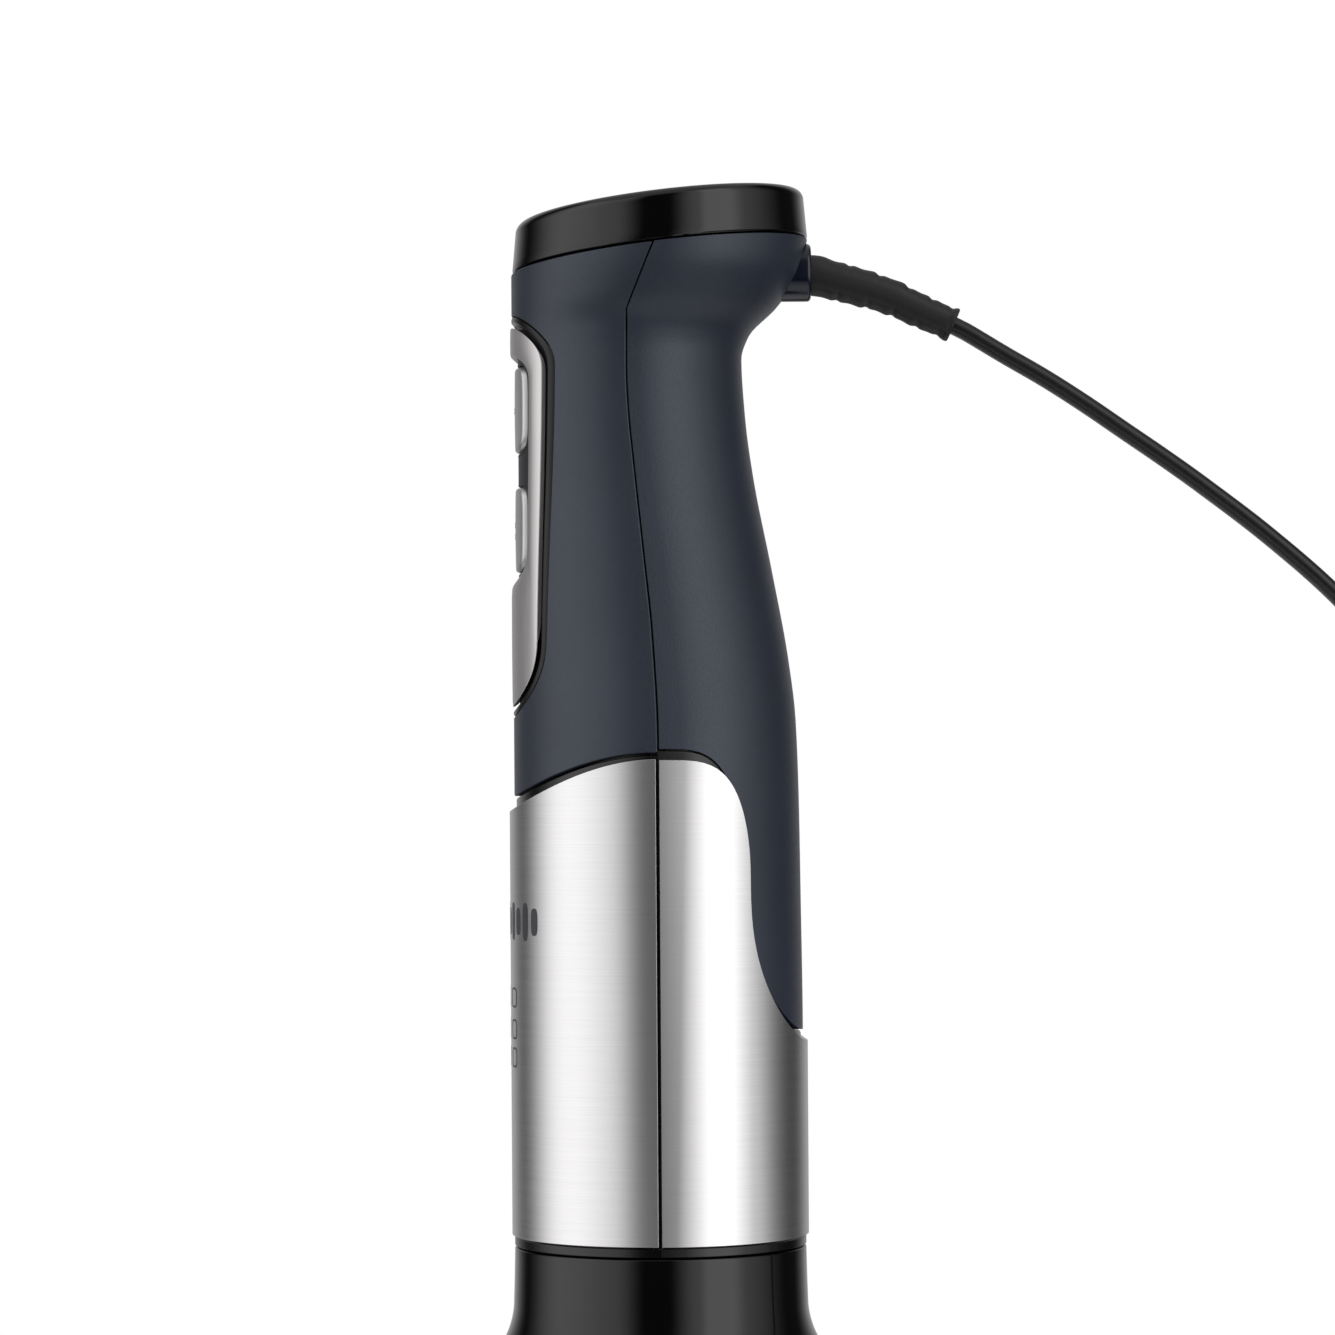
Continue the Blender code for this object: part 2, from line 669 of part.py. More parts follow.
def build_panel(carrier, grey, metal, dark):
    """Surround, bezel and the membrane that the buttons look through."""
    ring_on_front("bezel_surround", (
        (SURROUND, 0.0), (SURROUND_INNER, 0.1), (SURROUND_INNER, 3.0), (SURROUND, 3.0)), carrier, grey)
    ring_on_front("control_bezel", (
        (BEZEL, -0.1), (BEZEL, -0.3), (BEZEL_LAND, -0.3), (BEZEL_OPENING, 1.1), (BEZEL, 1.1)), carrier, metal)
    membrane = lofted("button_membrane", membrane_slab(), carrier, dark)
    for label, middle in (("speed", SPEED_Z), ("turbo", TURBO_Z)):
        loop = button_loop(middle, 0.4)
        window = [on_plane(loop, -40.0), on_plane(loop, -15.0)]
        combine(membrane, lofted(f"{label}_window", window, carrier, dark))


def ring_on_front(name, rims, carrier, material):
    """A ring round the panel through (outline, depth) rims."""
    sections = [on_front(panel_loop(shape), depth) for shape, depth in rims]
    lofted(name, sections, carrier, material, closed=True)


def membrane_slab():
    """The membrane's two faces, as loops that shrink to the panel's upright middle line."""
    loop = panel_loop(MEMBRANE)
    shares = (0.0, 0.3, 0.6, 0.9)
    faces = [shrunk(loop, share, 1.4) for share in shares[::-1]]
    return faces + [shrunk(loop, share, 2.4) for share in shares]


def shrunk(loop, share, depth):
    """The membrane's outline drawn in towards its upright middle line, on the body."""
    middle = 166.0
    points = []
    for y, rise in loop:
        points.append((y * (1 - share), middle + (rise - middle) * (1 - share * 0.5)))
    return on_front(points, depth)


def build_button(name, middle, carrier, plastic):
    """A button with a chamfered, slightly crowned face, a flange behind the membrane and a flat back."""
    stem_x = -28.6
    loop = button_loop(middle, 0.0)
    flange = button_loop(middle, 0.9)
    sections = []
    for share in (0.3, 0.7, 0.92):
        inner = [(y * share, middle + (rise - middle) * share) for y, rise in loop]
        sections.append(on_front(inner, 0.75))
    sections.append(on_front(loop, 1.5))
    sections.append(on_front(loop, 3.0))
    sections.append(on_front(flange, 3.0))
    sections.append(on_front(flange, 3.8))
    stem = [(y * 0.6, middle + (rise - middle) * 0.5) for y, rise in loop]
    sections.append(on_front(stem, 3.8))
    sections.append(on_plane(stem, stem_x))
    lofted(name, sections, carrier, plastic)


# ---------------------------------------------------------------- motor unit, inside

def build_controls(carrier, green, plastic, black):
    """The circuit board with its switches, and the carrier that holds it."""
    box("circuit_board", (-22.0, -12.0, 275.0), (-20.4, 12.0, 335.0), carrier, green)
    box("switch_carrier", (-20.0, -14.0, 270.0), (-17.5, 14.0, 338.0), carrier, plastic)
    for name, middle in (("speed_switch", SPEED_Z), ("turbo_switch", TURBO_Z)):
        z = SEAM_Z + middle
        box(name, (-26.8, -4.0, z - 4.0), (-22.3, 4.0, z + 4.0), carrier, black, 0.8)


def build_motor(carrier, plastic, rubber, steel, copper, brass, carbon):
    """Damper, brackets, bearings, stator, field coils and brushes."""
    turned("damper_ring", [(20.0, 133.3), (27.3, 133.3), (27.3, 137.7), (20.0, 137.7)], carrier, rubber, 24)
    turned("lower_motor_bracket", [(7.3, 138.0), (27.3, 138.0), (27.3, 141.0), (12.0, 141.0), (12.0, 147.0),
                                   (7.3, 147.0)], carrier, plastic, 24)
    for name, low in (("lower_bearing", 140.0), ("upper_bearing", 229.0)):
        turned(name, [(3.8, low), (7.0, low), (7.0, low + 6), (3.8, low + 6)], carrier, steel, SMALL_ROUND)
    build_stator(carrier, steel)
    for name, side in (("field_coil_left", 1), ("field_coil_right", -1)):
        build_field_coil(name, side, carrier, copper)
    build_upper_bracket(carrier, plastic, steel)
    for name, side in (("front", -1), ("rear", 1)):
        build_brush(name, side, carrier, brass, carbon)


def build_stator(carrier, steel):
    """The laminated ring with a pole at each side."""
    count = 48
    inner = []
    for i in range(count):
        turn = 2 * math.pi * i / count
        from_pole = abs(math.degrees(math.asin(math.sin(turn))))
        radius = 15.6 if from_pole > 53.0 else 22.5
        inner.append((radius * math.cos(turn), radius * math.sin(turn), 0.0))
    ringed("stator_core", round_loop(26.0, 0.0, count), inner, 164.0, 204.0, carrier, steel)


def build_field_coil(name, side, carrier, copper):
    """A winding round one pole: a rounded rectangle on the stator's inside."""
    def loop(half_angle, low, high, radius):
        points = []
        for across, up in coil_corners():
            angle = side * math.radians(90.0 + half_angle * across)
            z = (low + high) / 2 + (high - low) / 2 * up
            points.append((radius * math.cos(angle), radius * math.sin(angle), z))
        return points
    outer, inner = (57.0, 158.9, 209.1), (43.5, 163.7, 204.3)
    sections = [loop(*outer, 21.8), loop(*inner, 21.8), loop(*inner, 17.2), loop(*outer, 17.2)]
    lofted(name, sections, carrier, copper, closed=True)


def coil_corners():
    """A unit square with cut corners, with points along its top and bottom."""
    top = [(-0.95, 1.0), (-0.5, 1.0), (0.0, 1.0), (0.5, 1.0), (0.95, 1.0)]
    right = [(1.0, 0.97), (1.0, -0.97)]
    return top + right + [(-across, -up) for across, up in top + right]


def build_upper_bracket(carrier, plastic, steel):
    """The bridge over the motor, with a seat for the bearing, and the screws in its legs."""
    outline = [(-26.0, 204.4), (-23.0, 204.4), (-23.0, 227.0), (23.0, 227.0), (23.0, 204.4), (26.0, 204.4),
               (26.0, 236.0), (-26.0, 236.0)]
    face = [(x, 0.0, z) for x, z in outline]
    bracket = extruded("upper_motor_bracket", face, (0, -9.0, 0), (0, 9.0, 0), carrier, plastic)
    seat = [(0.0, 225.0), (7.3, 225.0), (7.3, 238.0), (0.0, 238.0)]
    combine(bracket, turned("bearing_seat", seat, carrier, plastic, 24))
    for name, x in (("motor_screw_front", -20.0), ("motor_screw_rear", 20.0)):
        bore = [(0.0, 229.0), (1.7, 229.0), (1.7, 238.0), (0.0, 238.0)]
        combine(bracket, turned(f"{name}_bore", bore, carrier, plastic, SCREW_ROUND, (x, 0.0)))
        screw = [(0.0, 229.4), (1.4, 229.4), (1.4, 236.3), (2.8, 236.3), (2.4, 238.6), (0.0, 238.8)]
        turned(name, screw, carrier, steel, SCREW_ROUND, (x, 0.0))


def build_brush(name, side, carrier, brass, carbon):
    """A square holder pointing at the commutator, with its carbon inside."""
    low, high = 213.0, 221.0
    middle = (low + high) / 2
    inside = 2.8

    def square(half, x):
        return [(side * x, y * half, middle + z * half) for y, z in ((1, 1), (-1, 1), (-1, -1), (1, -1))]
    sections = [square(4.0, 10.4), square(4.0, 22.5), square(inside, 22.5), square(inside, 10.4)]
    lofted(f"brush_holder_{name}", sections, carrier, brass, closed=True)
    near, far = sorted((side * 9.9, side * 20.0))
    box(f"carbon_brush_{name}", (near, -2.4, middle - 2.4), (far, 2.4, middle + 2.4), carrier, carbon)


def build_rotor(carrier, steel, copper, plastic):
    """Everything on the motor's shaft, down to the jaws that drive the lid's coupling."""
    turned("motor_shaft", [(0.0, 124.0), (SHAFT_RADIUS, 124.0), (SHAFT_RADIUS, 236.4), (2.9, 237.0), (0.0, 237.0)],
           carrier, steel, SMALL_ROUND)
    count = 48
    outer = []
    for i in range(count):
        radius = 11.0 if i % 4 == 3 else 15.0
        turn = 2 * math.pi * i / count
        outer.append((radius * math.cos(turn), radius * math.sin(turn), 0.0))
    bore = SHAFT_RADIUS + GAP
    ringed("armature_core", outer, round_loop(bore, 0.0, count), 166.0, 202.0, carrier, steel)
    turned("armature_winding_lower", [(bore, 159.0), (10.0, 159.0), (13.5, 161.5), (13.5, 165.7), (bore, 165.7)],
           carrier, copper, SMALL_ROUND)
    turned("armature_winding_upper", [(bore, 202.3), (13.5, 202.3), (13.5, 206.0), (10.0, 209.0), (bore, 209.0)],
           carrier, copper, SMALL_ROUND)
    turned("commutator", [(bore, 211.0), (9.5, 211.0), (9.5, 223.0), (6.0, 223.0), (6.0, 225.0), (bore, 225.0)],
           carrier, copper, SMALL_ROUND)
    build_fan(carrier, plastic, bore)
    coupling = turned("drive_coupling", [
        (0.0, 122.5), (10.0, 122.5), (10.0, 126.0), (6.5, 126.0), (6.5, 132.0), (bore, 132.0), (bore, 123.7),
        (0.0, 123.7),
    ], carrier, plastic, SMALL_ROUND)
    add_jaws(coupling, 50.0, 116.6, 123.0, carrier, plastic)


def build_fan(carrier, plastic, bore):
    """A fan of ten straight blades round a hub."""
    count = 40
    outer = []
    for i in range(count):
        radius = 23.5 if i % 4 in (0, 1) else 9.0
        turn = 2 * math.pi * i / count
        outer.append((radius * math.cos(turn), radius * math.sin(turn), 0.0))
    ringed("cooling_fan", outer, round_loop(bore, 0.0, count), 148.0, 156.5, carrier, plastic)


# ---------------------------------------------------------------- cord

def build_gland(carrier, gloss, rubber):
    """The round gland in the rear shell, and the soft relief that the cord leaves through."""
    lying("cord_gland", [(2.4, 27.5), (6.5, 27.5), (6.5, 35.0), (5.9, 35.8), (2.4, 35.8)], carrier, gloss,
          (0.0, SEAM_Z + 222.6))
    route = ((36.1, 222.1), (39.4, 221.2), (46.2, 219.4), (53.8, 217.0), (61.4, 213.4), (68.3, 210.4))
    sections = []
    count = len(route)
    for i, (x, rise) in enumerate(route):
        before = Vector(route[max(i - 1, 0)])
        after = Vector(route[min(i + 1, count - 1)])
        along = (after - before).normalized() if i else Vector((1.0, 0.0))
        tall = 4.4 - 0.55 * i / (count - 1)
        wide = 5.2 - 0.6 * i / (count - 1)
        section = []
        for step in range(16):
            turn = 2 * math.pi * step / 16
            up = tall * math.sin(turn)
            section.append((x - along.y * up, wide * math.cos(turn), SEAM_Z + rise + along.x * up))
        sections.append(section)
    lofted("strain_relief", sections, carrier, rubber)


def build_clamp(carrier, plastic, steel, rubber):
    """The bar that holds the cord inside, its screws, and the lead on to the board."""
    bar_low, bar_high = SEAM_Z + 225.2, SEAM_Z + 228.0
    clamp = box("cord_clamp", (15.0, -9.0, bar_low), (20.0, 9.0, bar_high), carrier, plastic)
    for name, y in (("clamp_screw_left", 6.2), ("clamp_screw_right", -6.2)):
        bore = [(0.0, bar_low - 1), (1.6, bar_low - 1), (1.6, bar_high + 1), (0.0, bar_high + 1)]
        combine(clamp, turned(f"{name}_bore", bore, carrier, plastic, SCREW_ROUND, (17.5, y)))
        screw = [(0.0, bar_low - 5), (1.25, bar_low - 5), (1.25, bar_high + 0.3), (2.4, bar_high + 0.3),
                 (2.0, bar_high + 1.6), (0.0, bar_high + 1.6)]
        turned(name, screw, carrier, steel, SCREW_ROUND, (17.5, y))
    route = ((35.6, 0.0, 352.6), (27.0, 0.0, 352.6), (15.0, 0.0, 352.3), (4.0, 0.0, 350.0), (-6.0, 0.0, 344.5),
             (-12.5, 0.0, 336.0), (-14.6, 0.0, 325.0))
    tube("lead_wires", route, 1.9, 8.0, 2, carrier, rubber)


def along_curve(route, spacing):
    """Points at an even spacing on a smooth curve through a route's own points."""
    knots = [Vector(point) for point in route]
    knots = [2 * knots[0] - knots[1]] + knots + [2 * knots[-1] - knots[-2]]
    fine = []
    for a, b, c, d in zip(knots, knots[1:], knots[2:], knots[3:]):
        steps = max(4, int((c - b).length))
        for i in range(steps):
            t = i / steps
            fine.append(0.5 * (2 * b + (c - a) * t + (2 * a - 5 * b + 4 * c - d) * t * t
                               + (3 * b - a - 3 * c + d) * t ** 3))
    fine.append(knots[-2])
    lengths = [0.0]
    for before, after in zip(fine, fine[1:]):
        lengths.append(lengths[-1] + (after - before).length)
    count = max(2, round(lengths[-1] / spacing))
    points = []
    for i in range(count + 1):
        goal = lengths[-1] * i / count
        j = min(bisect.bisect_left(lengths, goal), len(fine) - 1)
        if j == 0:
            points.append(fine[0])
            continue
        share = (goal - lengths[j - 1]) / (lengths[j] - lengths[j - 1])
        points.append(fine[j - 1].lerp(fine[j], share))
    return points


def tube(name, route, radius, spacing, resolution, carrier, material):
    """A round tube along a smooth curve through a route's points."""
    points = along_curve(route, spacing)
    curve = bpy.data.curves.new(name, "CURVE")
    curve.dimensions = "3D"
    curve.bevel_depth = radius * MM
    curve.bevel_resolution = resolution
    curve.use_fill_caps = True
    spline = curve.splines.new("POLY")
    spline.points.add(len(points) - 1)
    for place, point in zip(spline.points, points):
        place.co = (*(point * MM - carrier.location), 1.0)
    curve.materials.append(material)
    piece = bpy.data.objects.new(name, curve)
    piece.parent = carrier
    bpy.context.scene.collection.objects.link(piece)


# Where the cord runs, in millimetres, from the strain relief down to its coil on the table
CORD_ROUTE = (
    (68.6, 0.0, 340.2), (71.4, 0.0, 338.8), (80.3, 0.0, 333.4), (89.5, 0.0, 328.0), (98.6, 0.0, 322.1),
    (107.7, 0.0, 315.8), (116.8, 0.0, 309.5), (125.9, 0.0, 302.9), (140.0, 0.0, 292.0), (155.0, 0.0, 278.8),
    (168.0, 0.0, 264.5), (180.0, 0.0, 248.0), (190.0, 0.0, 229.0), (196.5, 0.0, 208.0), (199.5, 0.0, 186.0),
    (200.5, 0.0, 160.0), (200.0, 0.0, 134.0), (198.0, 0.5, 108.0), (194.5, 2.0, 84.0), (189.0, 6.0, 60.0),
    (182.0, 13.0, 40.0), (171.5, 22.0, 24.0), (158.0, 28.5, 14.5), (144.0, 30.5, 10.2),
)
TAIL_ROUTE = (
    (127.2, PLUG_Y, 5.2), (122.0, PLUG_Y, 9.0), (117.0, PLUG_Y, 12.0), (113.0, PLUG_Y, 13.0), (110.5, PLUG_Y, 13.0),
)


def build_cord(carrier, rubber, metal):
    """The cord, the coil of what is left of it, and its plug."""
    tube("power_cord", CORD_ROUTE, CORD_RADIUS, 12.0, 2, carrier, rubber)
    turned("cord_coil", [(COIL_INNER, 0.0), (COIL_OUTER, 0.0), (COIL_OUTER, COIL_HEIGHT),
                         (COIL_INNER, COIL_HEIGHT)], carrier, rubber, ROUND, COIL_CENTRE)
    tube("cord_tail", TAIL_ROUTE, CORD_RADIUS, 5.0, 2, carrier, rubber)
    build_plug(carrier, rubber, metal)


def build_plug(carrier, rubber, metal):
    """A round-cornered two-pin plug lying on the table."""
    rear, front = 110.0, 74.0
    sections = []
    for x, wide, tall in ((rear, 7.0, 6.5), (rear - 6, 8.0, 7.0), (rear - 12, 14.0, 10.5), (rear - 18, 18.0, 12.9),
                          (front + 1, 18.0, 12.9), (front, 17.0, 12.0)):
        section = []
        for step in range(20):
            turn = 2 * math.pi * step / 20
            across, up = math.cos(turn), math.sin(turn)
            y = math.copysign(abs(across) ** 0.6, across) * wide
            section.append((x, PLUG_Y + y, PLUG_Z + math.copysign(abs(up) ** 0.6, up) * tall))
        sections.append(section)
    lofted("power_plug", sections, carrier, rubber)
    for name, side in (("plug_pin_left", 1), ("plug_pin_right", -1)):
        pin = [(0.0, 54.7), (1.6, 54.7), (2.4, 56.0), (2.4, 73.7), (0.0, 73.7)]
        lying(name, pin, carrier, metal, (PLUG_Y + side * 9.5, PLUG_Z), 12)


# ---------------------------------------------------------------- the whole

def main():
    """Clears the scene and builds every piece on its body."""
    for old in list(bpy.data.objects):
        bpy.data.objects.remove(old, do_unlink=True)

    black = finish("black_plastic", (0.012, 0.012, 0.014), 0.35)
    gloss = finish("gloss_black", (0.008, 0.008, 0.01), 0.08)
    grip = finish("soft_grip", (0.045, 0.052, 0.07), 0.5)
    clear = finish("clear_plastic", (0.85, 0.87, 0.88), 0.08, 0.0, 0.35)
    rubber = finish("rubber", (0.02, 0.02, 0.022), 0.6)
    steel = finish("steel", (0.6, 0.6, 0.61), 0.25, 1.0)
    brushed = finish("brushed_steel", (0.5, 0.5, 0.51), 0.3, 1.0)
    grey = finish("grey_plastic", (0.16, 0.16, 0.17), 0.4)
    pale = finish("pale_plastic", (0.55, 0.55, 0.52), 0.5)
    copper = finish("copper", (0.7, 0.35, 0.2), 0.35, 1.0)
    brass = finish("brass", (0.75, 0.55, 0.25), 0.3, 1.0)
    green = finish("board_green", (0.02, 0.16, 0.07), 0.5)
    carbon = finish("carbon", (0.03, 0.03, 0.03), 0.7)

    bowl = body("bowl")
    blades = body("blades")
    lid = body("lid")
    lid_drive = body("lid_drive")
    lock = body("lock_ring")
    unit = body("motor_unit")
    rotor = body("rotor")
    speed = body("speed_button_body", (-32.0, 0.0, SEAM_Z + SPEED_Z))
    turbo = body("turbo_button_body", (-32.0, 0.0, SEAM_Z + TURBO_Z))

    build_bowl(bowl, rubber, clear, steel)
    build_blades(blades, black, steel)
    build_lid(lid, gloss, pale, rubber)
    build_lid_drive(lid_drive, pale)
    build_bayonet_ring(lock, black)
    build_sleeve(unit, brushed)
    build_inner_housings(unit, black)
    build_front_shell(unit, grip)
    build_rear_shell(unit, grip)
    build_cap(unit, gloss)
    build_panel(unit, grey, brushed, black)
    build_button("speed_button", SPEED_Z, speed, grey)
    build_button("turbo_button", TURBO_Z, turbo, grey)
    build_controls(unit, green, pale, black)
    build_motor(unit, pale, rubber, steel, copper, brass, carbon)
    build_rotor(rotor, steel, copper, pale)
    build_gland(unit, gloss, rubber)
    build_clamp(unit, pale, steel, rubber)
    build_cord(unit, rubber, steel)


main()
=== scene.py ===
"""The looks of a hand blender standing on its mini chopper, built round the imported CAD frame.

Sizes are in millimetres until a mesh is made.  The drive axis is x = y = 0, the table is z = 0, the
buttons face -X and the cord leaves towards +X.  "Rise" is the height above the seam between the motor
unit and the lid's collar.
"""

import bisect
from math import acos, asin, atan2, copysign, cos, degrees, exp, hypot, pi, radians, sin, sqrt, tan

import bmesh
import bpy
from mathutils import Matrix, Vector


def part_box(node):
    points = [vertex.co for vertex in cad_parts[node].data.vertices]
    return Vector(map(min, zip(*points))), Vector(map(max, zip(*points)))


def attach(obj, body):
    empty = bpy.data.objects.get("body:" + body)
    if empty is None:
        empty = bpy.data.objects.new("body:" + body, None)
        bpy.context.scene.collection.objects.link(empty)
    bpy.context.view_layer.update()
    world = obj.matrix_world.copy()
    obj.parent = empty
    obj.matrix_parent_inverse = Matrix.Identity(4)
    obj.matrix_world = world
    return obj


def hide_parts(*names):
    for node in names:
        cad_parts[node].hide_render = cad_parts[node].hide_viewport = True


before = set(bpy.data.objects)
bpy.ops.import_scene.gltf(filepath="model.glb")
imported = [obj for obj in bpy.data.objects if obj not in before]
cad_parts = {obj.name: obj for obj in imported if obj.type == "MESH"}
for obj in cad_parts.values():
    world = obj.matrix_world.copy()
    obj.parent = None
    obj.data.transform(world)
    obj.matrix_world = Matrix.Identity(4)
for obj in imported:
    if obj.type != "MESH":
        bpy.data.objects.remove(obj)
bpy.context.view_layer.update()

MM = 0.001


def level(node, end):
    """The z of a CAD node's lowest (0) or highest (1) corner, in millimetres."""
    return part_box(node)[end].z / MM


# Places taken from the frame
SEAM_Z = level("chopper_lid", 1)
SLEEVE_FOOT = level("front_steel_plate", 0)
SLEEVE_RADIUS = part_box("front_steel_plate")[1].y / MM
BOWL_LOW = level("chopper_bowl", 0)
BOWL_TOP = level("chopper_bowl", 1)
BOWL_RADIUS_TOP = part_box("chopper_bowl")[1].y / MM
BASE_HEIGHT = level("base_ring", 1)
LID_SKIRT_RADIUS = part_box("chopper_lid")[1].x / MM
LID_FOOT = level("chopper_lid", 0)
PIN_TOP = level("bowl_pin", 1)
HUB_LOW = level("blade_hub", 0)
HUB_TOP = level("blade_hub", 1)

# Driving sizes, as in the CAD
FRONT_X = -32.9
STEEL = 1.0
CORE_RADIUS = 32.4
SHELL = 2.0
SEAM = radians(0.35)
CAP_TILT = tan(radians(6.5))
CAP_RISE = 226.4
CAP_HEIGHT = 11.7
CAP_CENTRE = 1.2
GLAND_RISE = 222.6
SPEED_RISE = 191.2
TURBO_RISE = 163.8
BUTTON_HALF_WIDTH = 10.6
BUTTON_HALF_HEIGHT = 9.7
PIN_RADIUS = 3.0
NEAR_CAP = 226.0
CAP_GAP = 0.4
RIB_Z = 88.0
WHITE = (1.0, 1.0, 1.0, 1.0)

# Edges that dip in the middle of the front, of the grip and of the steel: lowest rise, radius
FRONT_DIP = (103.0, 61.0)
STEEL_DIP = (99.5, 56.0)

# The tongues behind, of the grip and in the steel: half width, lowest rise, rise at the parting line
TONGUE = (26.2, 49.3, 113.3)
STEEL_TONGUE = (27.0, 46.7, 110.8)
TONGUE_MIDDLE = 85.0
TONGUE_POWER = 2 / 2.8
TONGUE_SPACING = 1.4
PANEL_POWER = 2.3

# Panel outlines: half width, then where the top end begins and stops, and the same for the bottom end
SURROUND = (20.6, 199.0, 212.5, 138.0, 121.3)
SURROUND_INNER = (18.9, 199.0, 210.4, 138.0, 123.1)
BEZEL = (18.5, 199.0, 210.0, 138.0, 123.5)
BEZEL_OPENING = (14.7, 197.0, 203.5, 159.0, 151.2)
MEMBRANE = (18.2, 199.0, 209.7, 138.0, 123.8)

# The grip's rear line: height above the seam, distance behind the drive axis
REAR_LINE = (
    (0.0, 32.9), (49.5, 32.9), (79.0, 32.6), (102.0, 32.3), (120.0, 31.7), (134.0, 30.1), (154.6, 26.4),
    (175.3, 22.4), (189.0, 20.6), (202.8, 19.8), (208.1, 21.5), (215.2, 28.35), (223.1, 33.35), (230.5, 35.1),
)

# Where the front and rear shells meet: height above the seam, x
PARTING_LINE = (
    (0.0, 0.0), (115.0, 0.2), (138.6, -0.9), (156.9, -2.7), (175.3, -4.6), (189.0, -5.9), (198.0, -6.3),
    (211.7, -6.2), (230.3, 1.7),
)
PARTING_CORNER = 211.7

# The cord: a flat lead, its route down from the strain relief, its coil on the table and its tail
CORD_WIDTH = 6.4
CORD_THICK = 4.2
CORD_ROUTE = (
    (65.4, 0.0, 341.9), (68.6, 0.0, 340.2), (71.4, 0.0, 338.8), (80.3, 0.0, 333.4), (89.5, 0.0, 328.0),
    (98.6, 0.0, 322.1), (107.7, 0.0, 315.8), (116.8, 0.0, 309.5), (125.9, 0.0, 302.9), (140.0, 0.0, 292.0),
    (155.0, 0.0, 278.8), (168.0, 0.0, 264.5), (180.0, 0.0, 248.0), (190.0, 0.0, 229.0), (196.5, 0.0, 208.0),
    (199.5, 0.0, 186.0), (200.5, 0.0, 160.0), (200.0, 0.0, 134.0), (198.0, 0.5, 108.0), (194.5, 2.0, 84.0),
    (189.0, 6.0, 60.0), (182.0, 13.0, 40.0), (171.5, 22.0, 24.0), (158.0, 28.5, 14.5), (144.0, 30.5, 10.2),
)
TAIL_ROUTE = (
    (142.0, 45.3, 3.6), (134.5, 45.3, 4.6), (127.2, 45.3, 6.6), (122.0, 45.3, 9.1), (117.0, 45.3, 11.5),
    (113.0, 45.3, 12.7), (109.0, 45.3, 13.0),
)
COIL_CENTRE = (150.0, 0.0)
COIL_START_RADIUS = 31.0
COIL_PITCH = 4.4
COIL_DEGREES = (150, 1155)
COIL_Z = 3.35
PLUG_Y = 45.3
PLUG_Z = 13.0


# Curves

def smooth(stations, at):
    """A monotone cubic through (place, value) stations, held level beyond both ends."""
    places = [place for place, _ in stations]
    values = [value for _, value in stations]
    if at <= places[0]:
        return values[0]
    if at >= places[-1]:
        return values[-1]
    slopes = [(far - near) / (high - low) for (low, near), (high, far) in zip(stations, stations[1:])]
    tangents = [slopes[0]]
    for before, after in zip(slopes, slopes[1:]):
        flat = before * after <= 0.0
        tangents.append(0.0 if flat else 2.0 * before * after / (before + after))
    tangents.append(slopes[-1])
    i = bisect.bisect_right(places, at) - 1
    step = places[i + 1] - places[i]
    t = (at - places[i]) / step
    start = (2 * t - 3) * t * t + 1
    end = (3 - 2 * t) * t * t
    lift = (t - 1) * (t - 1) * t * tangents[i] + (t - 1) * t * t * tangents[i + 1]
    return start * values[i] + end * values[i + 1] + step * lift


def ease(t):
    """0 to 1 with a soft start and stop."""
    t = max(0.0, min(1.0, t))
    return t * t * (3 - 2 * t)


def spread(low, high, steps):
    """Evenly spaced values, both ends included."""
    return [low + (high - low) * i / steps for i in range(steps + 1)]


def arc(centre, radius, start, stop, steps):
    """Points of an arc in a plane, ends included, angles in degrees."""
    turns = spread(radians(start), radians(stop), steps)
    return [(centre[0] + radius * cos(turn), centre[1] + radius * sin(turn)) for turn in turns]


def parting_x(rise):
    """x of the line between the front and rear shells; it is straight above its sharp corner."""
    if rise < PARTING_CORNER:
        return smooth(PARTING_LINE[:-1], rise)
    (low, near), (high, far) = PARTING_LINE[-2:]
    return near + (far - near) * (rise - low) / (high - low)


def body_circle(rise):
    """Centre x and radius of the grip's round section."""
    rear = smooth(REAR_LINE, rise)
    return (rear + FRONT_X) / 2, (rear - FRONT_X) / 2


def on_body(angle, rise, depth=0.0):
    """A point of the grip's surface, or that far under it; the angle is from the front, towards +Y."""
    centre, radius = body_circle(rise)
    x, y, z = on_round(angle, radius - depth, SEAM_Z + rise)
    return (centre + x, y, z)


def parting_angle(rise):
    """The angle from the front at which the two shells meet."""
    centre, radius = body_circle(rise)
    return acos(max(-1.0, min(1.0, (centre - parting_x(rise)) / radius)))


def on_round(angle, radius, z):
    """A point at an angle from the front, towards +Y, round the drive axis."""
    return (-radius * cos(angle), radius * sin(angle), z)


def wrapped(loop, radius, over, turn=0.0):
    """Lays (across, z) points round the drive axis at a radius, that far over its surface."""
    return [on_round(turn + across / radius, radius + over, z) for across, z in loop]


def front_edge(y, lowest, radius):
    """Rise of an edge that dips in the middle of the front as an arc."""
    return lowest + radius - sqrt(radius * radius - y * y)


def rear_edge(half_width, lowest, flare_top, reach):
    """The tongue outline behind, from its lowest point out to the parting line, as (y, rise) points."""
    points = []
    for share in spread(0.0, 1.0, 34):
        turn = share ** TONGUE_SPACING * pi / 2
        y = half_width * sin(turn) ** TONGUE_POWER
        points.append((y, TONGUE_MIDDLE - (TONGUE_MIDDLE - lowest) * cos(turn) ** TONGUE_POWER))
    for share in spread(0.0, 1.0, 20)[1:]:
        turn = share * pi / 2
        y = half_width + (reach - half_width) * (1 - cos(turn))
        points.append((y, TONGUE_MIDDLE + (flare_top - TONGUE_MIDDLE) * sin(turn)))
    return points


def squared(value, power):
    """A sine or cosine drawn out, so that a circle becomes a rounded rectangle."""
    return copysign(abs(value) ** (2 / power), value)


